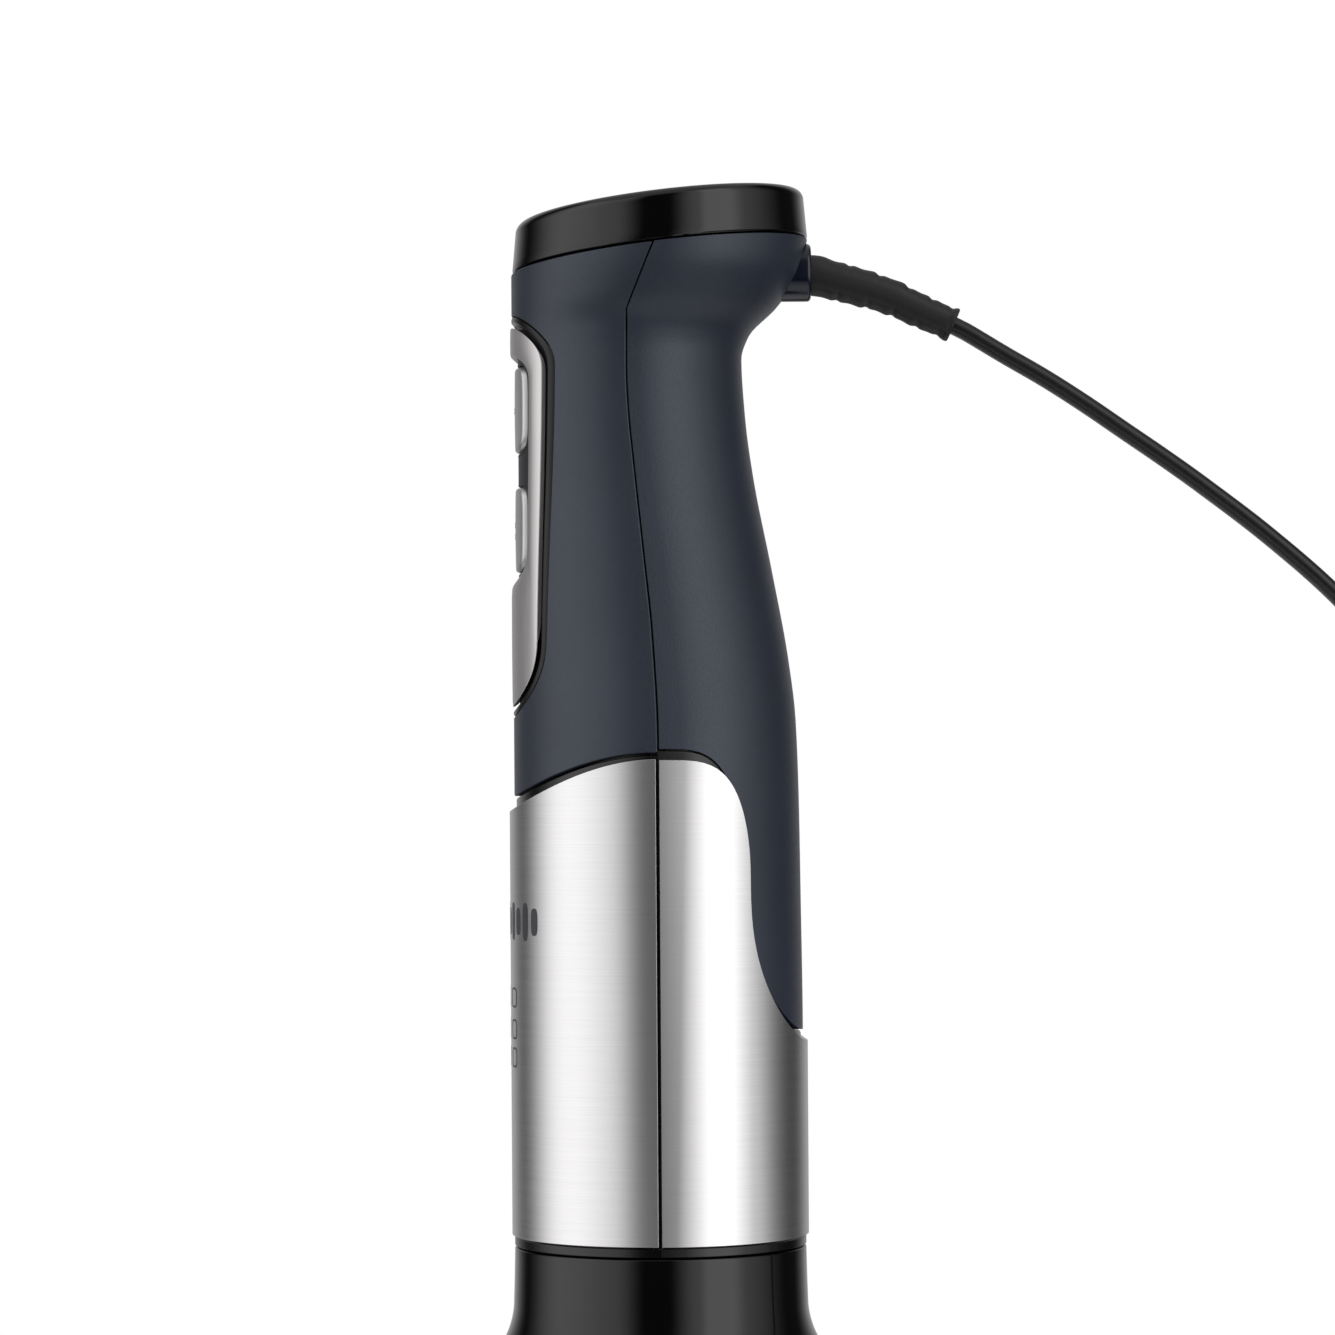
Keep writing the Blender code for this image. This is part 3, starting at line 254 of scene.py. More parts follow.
def end_point(half, start, stop, turn):
    """A point of a panel's rounded end at an angle from the +Y side."""
    return half * squared(cos(turn), PANEL_POWER), start + (stop - start) * squared(sin(turn), PANEL_POWER)


def panel_loop(shape, side_steps=40, end_steps=48):
    """A panel outline as (y, rise) points: up the +Y side, over the top, down the -Y side, round below."""
    half, top_start, top, low_start, low = shape
    turns = spread(0.0, pi, end_steps)[:-1]
    loop = [(half, rise) for rise in spread(low_start, top_start, side_steps)[:-1]]
    loop += [end_point(half, top_start, top, turn) for turn in turns]
    loop += [(-half, rise) for rise in spread(top_start, low_start, side_steps)[:-1]]
    return loop + [end_point(-half, low_start, low, turn) for turn in turns]


def rounded_loop(half_wide, half_tall, steps, power, middle=(0.0, 0.0)):
    """A rounded rectangle's outline about a middle."""
    loop = []
    for turn in spread(0.0, 2 * pi, steps)[:-1]:
        loop.append((middle[0] + squared(cos(turn), power) * half_wide,
                     middle[1] + squared(sin(turn), power) * half_tall))
    return loop


def on_front(loop, depth):
    """Lays (y, rise) points on the front of the body, that far under its surface."""
    points = []
    for y, rise in loop:
        centre, radius = body_circle(rise)
        points.append((centre - sqrt((radius - depth) ** 2 - y * y), y, SEAM_Z + rise))
    return points


def scaled(loop, share, middle):
    """A loop drawn in towards a middle."""
    return [(middle[0] + (y - middle[0]) * share, middle[1] + (z - middle[1]) * share) for y, z in loop]


def hub_loop(radius, z, groove=0.0, hexagon=False):
    """A level loop about the drive axis: a circle, one with twelve upright grooves, or a hexagon."""
    points = []
    for turn in spread(0.0, 2 * pi, 96)[:-1]:
        reach = radius - groove * max(0.0, cos(12 * turn)) ** 0.6
        if hexagon:
            reach *= cos(pi / 6) / cos(turn % (pi / 3) - pi / 6)
        points.append((reach * cos(turn), reach * sin(turn), z))
    return points


def curve_through(route, spacing):
    """Points at an even spacing on a smooth curve through a route's own points."""
    knots = [Vector(point) for point in route]
    knots = [2 * knots[0] - knots[1]] + knots + [2 * knots[-1] - knots[-2]]
    fine = []
    for a, b, c, d in zip(knots, knots[1:], knots[2:], knots[3:]):
        steps = max(4, int((c - b).length * 2))
        for i in range(steps):
            t = i / steps
            fine.append(0.5 * (2 * b + (c - a) * t + (2 * a - 5 * b + 4 * c - d) * t * t
                               + (3 * b - a - 3 * c + d) * t ** 3))
    fine.append(knots[-2])
    lengths = [0.0]
    for before, after in zip(fine, fine[1:]):
        lengths.append(lengths[-1] + (after - before).length)
    points = []
    j = 1
    for goal in spread(0.0, lengths[-1], max(2, round(lengths[-1] / spacing))):
        while j < len(fine) - 1 and lengths[j] < goal:
            j += 1
        share = (goal - lengths[j - 1]) / (lengths[j] - lengths[j - 1])
        points.append(fine[j - 1].lerp(fine[j], share))
    return points, lengths[-1]


# Materials

def feed(tree, node, name, value):
    """Gives a node's input a value or another node's output; _ in its name stands for a space."""
    socket = node.inputs[name if isinstance(name, int) else name.replace("_", " ")]
    if isinstance(value, bpy.types.NodeSocket):
        tree.links.new(value, socket)
    else:
        socket.default_value = value


def add(tree, kind, **inputs):
    """Adds a shader node."""
    node = tree.nodes.new("ShaderNode" + kind)
    for name, value in inputs.items():
        feed(tree, node, name, value)
    return node


def drive(made, **inputs):
    """Feeds inputs of a material's Principled shader."""
    for name, value in inputs.items():
        feed(made.node_tree, made.node_tree.nodes["Principled BSDF"], name, value)


def material(name, colour, roughness, metallic=0.0, **sockets):
    """A Principled material; sockets are further inputs."""
    made = bpy.data.materials.new(name)
    made.use_nodes = True
    drive(made, Base_Color=(*colour, 1.0), Roughness=roughness, Metallic=metallic)
    drive(made, **sockets)
    return made


def grain(made, scale, stretch=(1.0, 1.0, 1.0), detail=3.0):
    """A noise over the object's own coordinates, in cells per metre."""
    place = add(made.node_tree, "TexCoord").outputs["Object"]
    cells = add(made.node_tree, "Mapping", Vector=place, Scale=stretch).outputs["Vector"]
    return add(made.node_tree, "TexNoise", Vector=cells, Scale=scale, Detail=detail).outputs["Fac"]


def vary(made, factor, socket, low, high, start=0.3, stop=0.7):
    """Drives a number socket between two values by a factor."""
    ranged = add(made.node_tree, "MapRange", Value=factor, From_Min=start, From_Max=stop, To_Min=low,
                 To_Max=high)
    drive(made, **{socket: ranged.outputs["Result"]})


def tint(made, factor, dark, light, start=0.3, stop=0.7):
    """Drives the base colour between two colours by a factor."""
    ramp = add(made.node_tree, "ValToRGB", Fac=factor)
    for element, position, colour in zip(ramp.color_ramp.elements, (start, stop), (dark, light)):
        element.position = position
        element.color = (*colour, 1.0)
    drive(made, Base_Color=ramp.outputs["Color"])


def bump(made, factor, strength, distance):
    """Raises the surface by a factor; distance is in millimetres."""
    bumped = add(made.node_tree, "Bump", Height=factor, Strength=strength, Distance=distance * MM)
    drive(made, Normal=bumped.outputs["Normal"])


def shade(colour, share):
    """A colour made darker or lighter."""
    return tuple(min(1.0, share * part) for part in colour)


def moulded(name, colour, roughness, cells=2500.0, depth=0.02, strength=0.25, **sockets):
    """Moulded plastic or rubber: a fine spark-eroded grain and a slow drift of colour and gloss."""
    made = material(name, colour, roughness, **sockets)
    tint(made, grain(made, 60.0), shade(colour, 0.92), shade(colour, 1.08))
    fine = grain(made, cells, detail=2.0)
    vary(made, fine, "Roughness", roughness * 0.88, roughness * 1.12)
    bump(made, fine, strength, depth)
    return made


def brushed(name, colour, roughness, stretch, strength=0.25):
    """Brushed metal: long fine streaks in its gloss, colour and surface."""
    made = material(name, colour, roughness, 1.0)
    streak = grain(made, 90.0, stretch, 4.0)
    tint(made, streak, shade(colour, 0.94), shade(colour, 1.05), 0.25, 0.75)
    vary(made, streak, "Roughness", roughness * 0.93, roughness * 1.07, 0.25, 0.75)
    bump(made, streak, strength, 0.01)
    return made


def glossy(name, colour, roughness=0.06):
    """High gloss plastic with the faint orange peel and wipe marks of a polished mould."""
    made = material(name, colour, roughness)
    wipe = grain(made, 45.0, (1.0, 1.0, 2.5))
    vary(made, wipe, "Roughness", roughness * 0.8, roughness * 1.7)
    bump(made, grain(made, 220.0, detail=1.0), 0.04, 0.02)
    return made


def clear_plastic(name, colour):
    """Clear moulded plastic, denser at grazing angles, where the wall is seen through its length."""
    made = material(name, colour, 0.07)
    facing = add(made.node_tree, "LayerWeight", Blend=0.25).outputs["Facing"]
    vary(made, facing, "Alpha", 0.035, 0.5, 0.0, 1.0)
    vary(made, grain(made, 30.0), "Roughness", 0.05, 0.14, 0.0, 1.0)
    return made


def wound(name, dark, light, pitch):
    """Enamelled wire wound side by side, as fine rounded bands, with painted shade darkening the grooves
    between the turns.
    """
    made = material(name, light, 0.32, 1.0)
    place = add(made.node_tree, "TexCoord").outputs["Object"]
    wave = add(made.node_tree, "TexWave", Vector=place, Scale=0.314 / (pitch * MM), Distortion=1.2)
    wave.bands_direction = "DIAGONAL"
    # painted shade: the colour goes dark where the bump is low, in the grooves between the turns
    tint(made, wave.outputs["Fac"], dark, light, 0.0, 0.8)
    bump(made, wave.outputs["Fac"], 0.6, 0.2)
    return made


SOFT_GRIP = moulded("soft_grip", (0.0205, 0.0255, 0.0405), 0.42, 2300.0, 0.055, 0.6, Specular_IOR_Level=0.62,
                    Specular_Tint=(0.86, 0.92, 1.0, 1.0))
STEEL_SLEEVE = brushed("sleeve_steel", (0.70, 0.69, 0.695), 0.31, (0.35, 0.35, 60.0), 0.1)
STEEL_BEZEL = brushed("bezel_steel", (0.62, 0.60, 0.60), 0.43, (30.0, 30.0, 0.6), 0.06)
STEEL_TURNED = brushed("turned_steel", (0.62, 0.62, 0.63), 0.24, (1.0, 1.0, 25.0))
STEEL_BLADE = brushed("blade_steel", (0.66, 0.66, 0.67), 0.20, (12.0, 12.0, 1.0), 0.2)
GLOSS_BLACK = glossy("gloss_black", (0.0016, 0.0015, 0.0017))
CORE_BLACK = glossy("core_black", (0.0025, 0.0024, 0.0026), 0.16)
GLAND_NAVY = glossy("gland_navy", (0.006, 0.009, 0.021), 0.12)
BLACK_PLASTIC = moulded("black_plastic", (0.010, 0.010, 0.012), 0.30, 2600.0, 0.01)
GREY_TRIM = moulded("grey_trim", (0.008, 0.0065, 0.006), 0.24, 3000.0, 0.01, 0.15, Specular_IOR_Level=0.3)
MEMBRANE_RUBBER = moulded("membrane_rubber", (0.016, 0.018, 0.022), 0.5, 3200.0, 0.015)
BUTTON_GREY = moulded("button_grey", (0.55, 0.545, 0.55), 0.40, 3600.0, 0.008, 0.15, Metallic=0.85)
BUTTON_MARK = moulded("button_mark", (0.50, 0.50, 0.51), 0.45, 3600.0, 0.008)
PRINT_DARK = moulded("print_dark", (0.045, 0.047, 0.055), 0.45, 4000.0, 0.004)
CORD_RUBBER = moulded("cord_rubber", (0.0065, 0.0065, 0.0072), 0.36, 1800.0, 0.02)
RELIEF_RUBBER = moulded("relief_rubber", (0.0085, 0.0080, 0.0080), 0.50, 2200.0, 0.03, 0.4)
BASE_RUBBER = moulded("base_rubber", (0.022, 0.022, 0.024), 0.62, 1500.0, 0.03, 0.4)
PALE_PLASTIC = moulded("pale_plastic", (0.62, 0.61, 0.57), 0.38, 2200.0, 0.012)
CLEAR = clear_plastic("clear_plastic", (0.86, 0.88, 0.90))
NICKEL = brushed("nickel", (0.74, 0.72, 0.68), 0.16, (1.0, 20.0, 20.0), 0.1)
COPPER = wound("enamelled_copper", (0.26, 0.08, 0.03), (0.72, 0.33, 0.16), 0.5)
BRASS = brushed("brass", (0.74, 0.53, 0.24), 0.28, (15.0, 1.0, 1.0))
CARBON = moulded("carbon", (0.025, 0.025, 0.026), 0.55, 1500.0, 0.03)
BOARD = moulded("board_green", (0.015, 0.12, 0.05), 0.35, 900.0, 0.02)
CORE_STEEL = brushed("core_steel", (0.42, 0.42, 0.43), 0.36, (1.0, 1.0, 200.0), 0.5)


# Meshes

def piece_from(bm, name, finish, body):
    """Makes a shown piece of a bmesh in millimetres, riding on a CAD body."""
    bmesh.ops.recalc_face_normals(bm, faces=bm.faces)
    if bm.calc_volume(signed=True) < 0:
        bmesh.ops.reverse_faces(bm, faces=bm.faces)
    mesh = bpy.data.meshes.new(name)
    bm.to_mesh(mesh)
    bm.free()
    mesh.transform(Matrix.Scale(MM, 4))
    mesh.materials.append(finish)
    smooth_shading(mesh, 38.0)
    piece = bpy.data.objects.new(name, mesh)
    bpy.context.scene.collection.objects.link(piece)
    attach(piece, body)
    return piece


def smooth_shading(mesh, sharp):
    """Shades a mesh smoothly except across edges sharper than an angle in degrees."""
    mesh.shade_smooth()
    mesh.set_sharp_from_angle(angle=radians(sharp))


def soften(piece, width, segments=3, angle=40.0):
    """Rounds a piece's sharp edges by a width in millimetres."""
    rounding = piece.modifiers.new("rounded_edges", "BEVEL")
    rounding.width = width * MM
    rounding.segments = segments
    rounding.limit_method = "ANGLE"
    rounding.angle_limit = radians(angle)
    rounding.harden_normals = True


def lofted(name, sections, finish, body="motor_unit", closed=False, ladder=False, fan=False):
    """A closed skin through equal sections.  Ends are a face, a ladder of faces or a fan."""
    bm = bmesh.new()
    loops = [[bm.verts.new(point) for point in section] for section in sections]
    following = loops[1:] + loops[:1] if closed else loops[1:]
    count = len(loops[0])
    for near, far in zip(loops, following):
        for i in range(count):
            j = (i + 1) % count
            bm.faces.new((near[i], near[j], far[j], far[i]))
    if not closed:
        for loop in (loops[0], loops[-1]):
            close_end(bm, loop, ladder, fan)
    return piece_from(bm, name, finish, body)


def close_end(bm, loop, ladder, fan):
    """Fills the end of a skin."""
    if ladder:
        half = len(loop) // 2
        for i in range(half - 1):
            bm.faces.new((loop[i], loop[i + 1], loop[-2 - i], loop[-1 - i]))
        return
    if not fan:
        bm.faces.new(loop)
        return
    middle = bm.verts.new(sum((vert.co for vert in loop), Vector()) / len(loop))
    for here, there in zip(loop, loop[1:] + loop[:1]):
        bm.faces.new((here, there, middle))


def turned(name, profile, finish, body="motor_unit", segments=160, centre=(0.0, 0.0), slope=0.0,
           along_x=False):
    """A (radius, height) profile spun about an upright axis, or one along X."""
    bm = bmesh.new()
    points = [bm.verts.new((radius, 0.0, z)) for radius, z in profile]
    on_axis = profile[0][0] == 0.0 and profile[-1][0] == 0.0
    following = points[1:] if on_axis else points[1:] + points[:1]
    edges = [bm.edges.new(pair) for pair in zip(points, following)]
    bmesh.ops.spin(bm, geom=points + edges, axis=(0, 0, 1), cent=(0, 0, 0), angle=2 * pi,
                   steps=segments, use_merge=True)
    bmesh.ops.remove_doubles(bm, verts=bm.verts, dist=0.0005)
    for vert in bm.verts:
        x, y, z = vert.co
        if along_x:
            vert.co = (z, y + centre[0], x + centre[1])
        else:
            vert.co = (x + centre[0], y + centre[1], z + slope * (x + centre[0]))
    return piece_from(bm, name, finish, body)


def heading(path, i):
    """The direction of a path at one of its points."""
    return (path[min(i + 1, len(path) - 1)] - path[max(i - 1, 0)]).normalized()


def swept(name, path, section, sides, finish, swell=None):
    """A (wide, thin) section carried along a path; sides are the section's wide directions."""
    sections = []
    for i, (point, side) in enumerate(zip(path, sides)):
        along = heading(path, i)
        wide = (side - along * side.dot(along)).normalized()
        thin = along.cross(wide)
        loop = []
        for a, b in section:
            grow_a, grow_b = swell(point.x, b) if swell else (1.0, 1.0)
            loop.append(point + wide * a * grow_a + thin * b * grow_b)
        sections.append(loop)
    return lofted(name, sections, finish)


def carve(piece, cutters):
    """Cuts closed shapes out of a piece and removes them."""
    for cutter in cutters:
        cut = piece.modifiers.new("opening", "BOOLEAN")
        cut.solver = "EXACT"
        cut.object = cutter
    bpy.context.view_layer.update()
    graph = bpy.context.evaluated_depsgraph_get()
    mesh = bpy.data.meshes.new_from_object(piece.evaluated_get(graph))
    piece.modifiers.clear()
    piece.data = mesh
    for cutter in cutters:
        bpy.data.objects.remove(cutter, do_unlink=True)


# Chopper

def build_base_ring():
    """The rubber ring that the bowl stands in, with two fine grooves round its side."""
    side = [(55.9, 0.0), (56.8, 0.9)]
    for z in (3.0, 4.6):
        side += [(56.7, z - 0.35), (56.3, z - 0.12), (56.3, z + 0.12), (56.7, z + 0.35)]
    profile = [(46.0, 0.0), *side, (56.5, BASE_HEIGHT - 0.8), (55.9, BASE_HEIGHT), (54.9, BASE_HEIGHT),
               (54.9, 4.7), (46.0, 4.7)]
    ring = turned("base_ring_rubber", profile, BASE_RUBBER, "bowl")
    soften(ring, 0.25, 2)
    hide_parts("base_ring")


def build_bowl():
    """The clear bowl with its rounded foot, its boss and a few moulded level lines, and the pin in it."""
    wall = 2.4
    slope = (BOWL_RADIUS_TOP - 54.0) / (BOWL_TOP - BOWL_LOW)
    inner_top = BOWL_RADIUS_TOP - wall
    outside = [(0.0, BOWL_LOW), (50.2, BOWL_LOW)] + arc((51.2, BOWL_LOW + 3.0), 3.0, -88, -4, 8)
    for z in (34.0, 52.0, 70.0):
        radius = 54.0 + slope * (z - BOWL_LOW)
        outside += [(radius - 0.05, z - 0.6), (radius + 0.3, z - 0.25), (radius + 0.32, z + 0.25),
                    (radius + 0.05, z + 0.6)]
    rim = [(BOWL_RADIUS_TOP, BOWL_TOP - 0.9), (BOWL_RADIUS_TOP - 0.4, BOWL_TOP - 0.2),
           (BOWL_RADIUS_TOP - 1.2, BOWL_TOP), (inner_top + 0.4, BOWL_TOP - 0.2), (inner_top, BOWL_TOP - 0.9)]
    inside = arc((46.7, 13.0), 5.0, 0, -88, 8)
    boss = [(8.6, 8.0), (7.2, 8.8), (6.4, 15.4), (5.9, 16.0), (3.7, 16.0), (3.3, 15.6), (3.3, 8.2),
            (0.0, 8.0)]
    bowl = turned("bowl_clear", outside + rim + inside + boss, CLEAR, "bowl", 192)
    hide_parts("chopper_bowl")
    profile = [(0.0, 8.3), (PIN_RADIUS, 8.3), (PIN_RADIUS, PIN_TOP - 1.4), (2.2, PIN_TOP - 0.2),
               (1.6, PIN_TOP), (0.0, PIN_TOP)]
    pin = turned("bowl_pin_steel", profile, STEEL_TURNED, "bowl", 48)
    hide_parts("bowl_pin")


def blade_wing(half_hub, half_tip, sweep):
    """The lead and trail edges of one sickle wing, as (radius, angle) from root to tip."""
    lead, trail = [], []
    first, last = 11.0, 48.5
    for out in spread(0.0, 1.0, 26):
        radius = first + (last - first) * out
        middle = sweep * out ** 1.4
        half = (half_hub + (half_tip - half_hub) * out) / radius
        tip = sqrt(max(0.0, 1.0 - max(0.0, (out - 0.86) / 0.14) ** 2))
        trail.append((radius, middle - half * (0.25 + 0.75 * tip)))
        lead.append((radius, middle + half * (1.0 - 0.75 * out ** 4) * (0.25 + 0.75 * tip)))
    return lead, trail


def build_blade(name, node, low, facing):
    """A two-winged knife, hollow ground to a fine edge on the leading side of each wing."""
    thick = 1.2
    lead, trail = blade_wing(7.0, 3.2, radians(24))
    outer, ground = [], []
    for half_turn in (0.0, pi):
        base = facing + half_turn
        wing = [(r, a, 0.0) for r, a in trail]
        wing += [(r, a, min(2.6, 0.45 * (a - b) * r)) for (r, a), (_, b) in zip(lead[::-1], trail[::-1])]
        for radius, angle, inset in wing:
            turn = base + angle
            outer.append((radius * cos(turn), radius * sin(turn)))
            turn -= inset / radius
            ground.append((radius * cos(turn), radius * sin(turn)))
        start = base + lead[0][1]
        stop = base + pi + trail[0][1]
        for turn in spread(start, stop, 12)[1:-1]:
            point = (11.0 * cos(turn), 11.0 * sin(turn))
            outer.append(point)
            ground.append(point)
    hole = []
    for x, y in outer:
        turn = atan2(y, x)
        hole.append((7.3 * cos(turn), 7.3 * sin(turn)))
    top = low + thick
    rims = ((hole, low), (outer, low), (outer, low + 0.25), (ground, top), (hole, top))
    sections = [[(x, y, z) for x, y in loop] for loop, z in rims]
    blade = lofted(name, sections, STEEL_BLADE, "blades", closed=True)
    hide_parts(node)


def build_hub():
    """The blades' hub, with ribs to grip it by and the hexagon stem that drives it."""
    foot = ((3.35, 62.0), (3.35, HUB_LOW), (10.6, HUB_LOW), (11.0, HUB_LOW + 0.4), (11.0, 19.7), (7.0, 19.8),
            (7.0, 48.5))
    ribs = ((49.5, 0.0), (51.0, 0.7), (78.0, 0.7), (80.0, 0.0))
    stem = ((4.6, 84.0), (4.6, HUB_TOP - 0.6), (4.1, HUB_TOP))
    sections = [hub_loop(radius, z) for radius, z in foot]
    sections += [hub_loop(7.0, z, groove) for z, groove in ribs]
    sections += [hub_loop(7.0, 83.0), hub_loop(6.4, 84.0)]
    sections += [hub_loop(radius, z, hexagon=True) for radius, z in stem]
    hub = lofted("blade_hub_moulded", sections, BLACK_PLASTIC, "blades")
    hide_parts("blade_hub")


def build_lid():
    """The glossy lid, which sweeps up from its skirt into the collar that the motor unit stands in."""
    collar_top = [(31.2, SEAM_Z), (32.9, SEAM_Z)] + arc((32.9, SEAM_Z - 0.5), 0.5, 80, 0, 4)
    sweep = arc((53.7, 118.0), 20.0, 184, 268, 40)
    shoulder = [(57.5, 97.35)] + arc((59.3, 94.0), 3.2, 84, 2, 10)
    skirt = [(LID_SKIRT_RADIUS, LID_FOOT + 1.2)] + arc((61.7, LID_FOOT + 0.8), 0.8, -10, -90, 4)
    skirt += [(60.9, LID_FOOT + 0.3)]
    inside = [(60.9, 93.4), (53.7, 95.6), (42.0, 99.2), (36.6, 103.4), (10.5, 103.4), (10.5, 97.0)]
    tube = [(7.3, 97.0), (7.3, 112.0), (10.5, 112.0), (10.5, 106.0), (31.2, 106.0)]
    profile = collar_top + [(33.45, 127.0), (33.6, 121.0)] + sweep + shoulder + skirt + inside + tube
    lid = turned("lid_gloss", profile, GLOSS_BLACK, "lid", 192)
    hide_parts("chopper_lid")
    profile = [(54.0, 90.5), (56.0, 90.5), (56.6, 91.0), (56.6, 92.0), (56.0, 92.4), (56.5, 93.4),
               (56.2, 94.2), (54.0, 94.6)]
    seal = turned("lid_seal_ring", profile, BASE_RUBBER, "lid")
    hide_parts("lid_seal")
    build_lid_ribs()


def build_lid_ribs():
    """Upright grip ribs in two groups on the lid's skirt, at its front and back."""
    for side in (0, 1):
        for i in range(9):
            turn = pi * side + radians(4.2 * (i - 4))
            sections = []
            for over, grow in ((-0.3, 1.0), (0.28, 1.0), (0.5, 0.62)):
                loop = rounded_loop(0.75 * grow, 4.4 * (0.9 + 0.1 * grow), 20, 3.0, (0.0, RIB_Z))
                sections.append(wrapped(loop, LID_SKIRT_RADIUS, over, turn))
            lofted(f"lid_rib_{side}_{i}", sections, GLOSS_BLACK, "lid")


# Motor unit

def spaced(border):
    """Each border point's share of the border's whole length."""
    lengths = [0.0]
    for (angle, rise), (next_angle, next_rise) in zip(border, border[1:]):
        lengths.append(lengths[-1] + hypot((next_angle - angle) * SLEEVE_RADIUS, next_rise - rise))
    return [length / lengths[-1] for length in lengths]


def build_sleeve():
    """The two brushed plates, with rounded edges and a narrow slot between them at both sides."""
    slot = asin(0.42 / SLEEVE_RADIUS)
    half = pi / 2 - slot
    columns = spread(-half, half, 120)
    front = [(angle, front_edge(SLEEVE_RADIUS * sin(angle), *STEEL_DIP)) for angle in columns]
    side = []
    for y, rise in rear_edge(*STEEL_TONGUE, SLEEVE_RADIUS):
        angle = pi - asin(min(1.0, y / SLEEVE_RADIUS))
        side.append((max(angle, pi / 2 + slot), rise))
    rear = side[::-1] + [(2 * pi - angle, rise) for angle, rise in side[1:]]
    for name, border in (("front_steel_plate", front), ("rear_steel_plate", rear)):
        sections = []
        for (angle, rise), share in zip(border, spaced(border)):
            foot_angle = border[0][0] + (border[-1][0] - border[0][0]) * share
            outer, inner = [], []
            for t in spread(0.0, 1.0, 20):
                turn = foot_angle + (angle - foot_angle) * t
                z = SLEEVE_FOOT + (SEAM_Z + rise - SLEEVE_FOOT) * t
                outer.append(on_round(turn, SLEEVE_RADIUS, z))
                inner.append(on_round(turn, SLEEVE_RADIUS - STEEL, z))
            sections.append(outer + inner[::-1])
        plate = lofted(f"{name}_brushed", sections, STEEL_SLEEVE, ladder=True)
        soften(plate, 0.09)
        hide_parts(name)


def tongue_rise(angle):
    """Rise of the core's upper edge behind, at an angle from the back."""
    half_width, lowest, flare_top = TONGUE
    y = CORE_RADIUS * sin(angle)
    if y <= half_width:
        turn = asin((y / half_width) ** (1 / TONGUE_POWER))
        return TONGUE_MIDDLE - (TONGUE_MIDDLE - lowest) * cos(turn) ** TONGUE_POWER
    turn = acos(max(-1.0, 1 - (y - half_width) / (CORE_RADIUS - half_width)))
    return TONGUE_MIDDLE + (flare_top - TONGUE_MIDDLE) * sin(turn)


def build_core():
    """The black core: its lip between steel and grip, its foot, its spigot and the three lugs."""
    seam = radians(0.12)
    lug_sides = [radians(step) for step in (-6.0, -5.6, 5.6, 6.0)]
    front = []
    for angle in sorted(spread(seam - pi / 2, pi / 2 - seam, 120) + lug_sides):
        rise = front_edge(CORE_RADIUS * sin(angle), *FRONT_DIP) - 0.4
        front.append(core_section(angle, rise, abs(degrees(angle)) < 5.7))
    quarter = [radians(step) for step in (54.0, 54.4, 65.6, 66.0)]
    for y, _ in rear_edge(*TONGUE, CORE_RADIUS):
        quarter.append(min(asin(min(1.0, y / CORE_RADIUS)), pi / 2 - seam))
    quarter.sort()
    rear = []
    for angle in quarter[::-1] + [-angle for angle in quarter[1:]]:
        in_lug = 54.2 < abs(degrees(angle)) < 65.8
        rear.append(core_section(pi - angle, tongue_rise(abs(angle)) - 0.4, in_lug))
    for name, sections in (("front_inner_housing", front), ("rear_inner_housing", rear)):
        half = lofted(f"{name}_moulded", sections, CORE_BLACK)
        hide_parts(name)


def core_section(angle, step_rise, in_lug):
    """The core's wall, foot and spigot at one angle from the front, with its visible corners rounded."""
    lug = 29.2 if in_lug else 27.1
    step = SEAM_Z + step_rise
    foot = SEAM_Z + 0.3
    profile = (
        (11.0, 133.0), (11.0, foot), (24.5, foot), (24.5, 108.6), (25.0, 108.0), (26.5, 108.0), (27.0, 108.5),
        (27.0, 109.0), (lug, 109.0), (lug, 113.0), (27.0, 113.0), (27.0, foot), (33.2, foot),
        (33.4, foot + 0.2), (33.4, 132.25), (33.2, 132.45), (CORE_RADIUS, 132.45), (CORE_RADIUS, step - 0.5),
        (CORE_RADIUS - 0.15, step - 0.15), (CORE_RADIUS - 0.5, step), (29.2, step), (29.2, 245.0),
        (28.0, 245.0), (28.0, 133.0),
    )
    return [on_round(angle, radius, z) for radius, z in profile]


def shell_top(angle):
    """Rise at which a shell meets the cap, at an angle from the front."""
    rise = NEAR_CAP
    for _ in range(3):
        rise = CAP_RISE - CAP_GAP + on_body(angle, rise)[0] * CAP_TILT
    return rise


def build_front_shell():
    """The front of the grip, with the opening for the control panel."""
    gap = 0.3
    opening = tuple(value + grow for value, grow in zip(SURROUND, (gap, 0.0, gap, 0.0, -gap)))
    side_steps, end_steps, rows = 48, 48, 22
    sections = []
    border = front_border(side_steps, end_steps)
    for (y, rise), (far_angle, far_rise) in zip(panel_loop(opening, side_steps, end_steps), border):
        _, radius = body_circle(rise)
        outside, inside = asin(y / radius), asin(y / (radius - SHELL))
        outer, inner = [], []
        for t in spread(0.0, 1.0, rows):
            height = rise + (far_rise - rise) * t
            outer.append(on_body(outside + (far_angle - outside) * t, height))
            inner.append(on_body(inside + (far_angle - inside) * t, height, SHELL))
        sections.append(outer + inner[::-1])
    shell = lofted("front_shell_soft", sections, SOFT_GRIP, closed=True)
    soften(shell, 0.35)
    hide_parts("front_grip_shell")


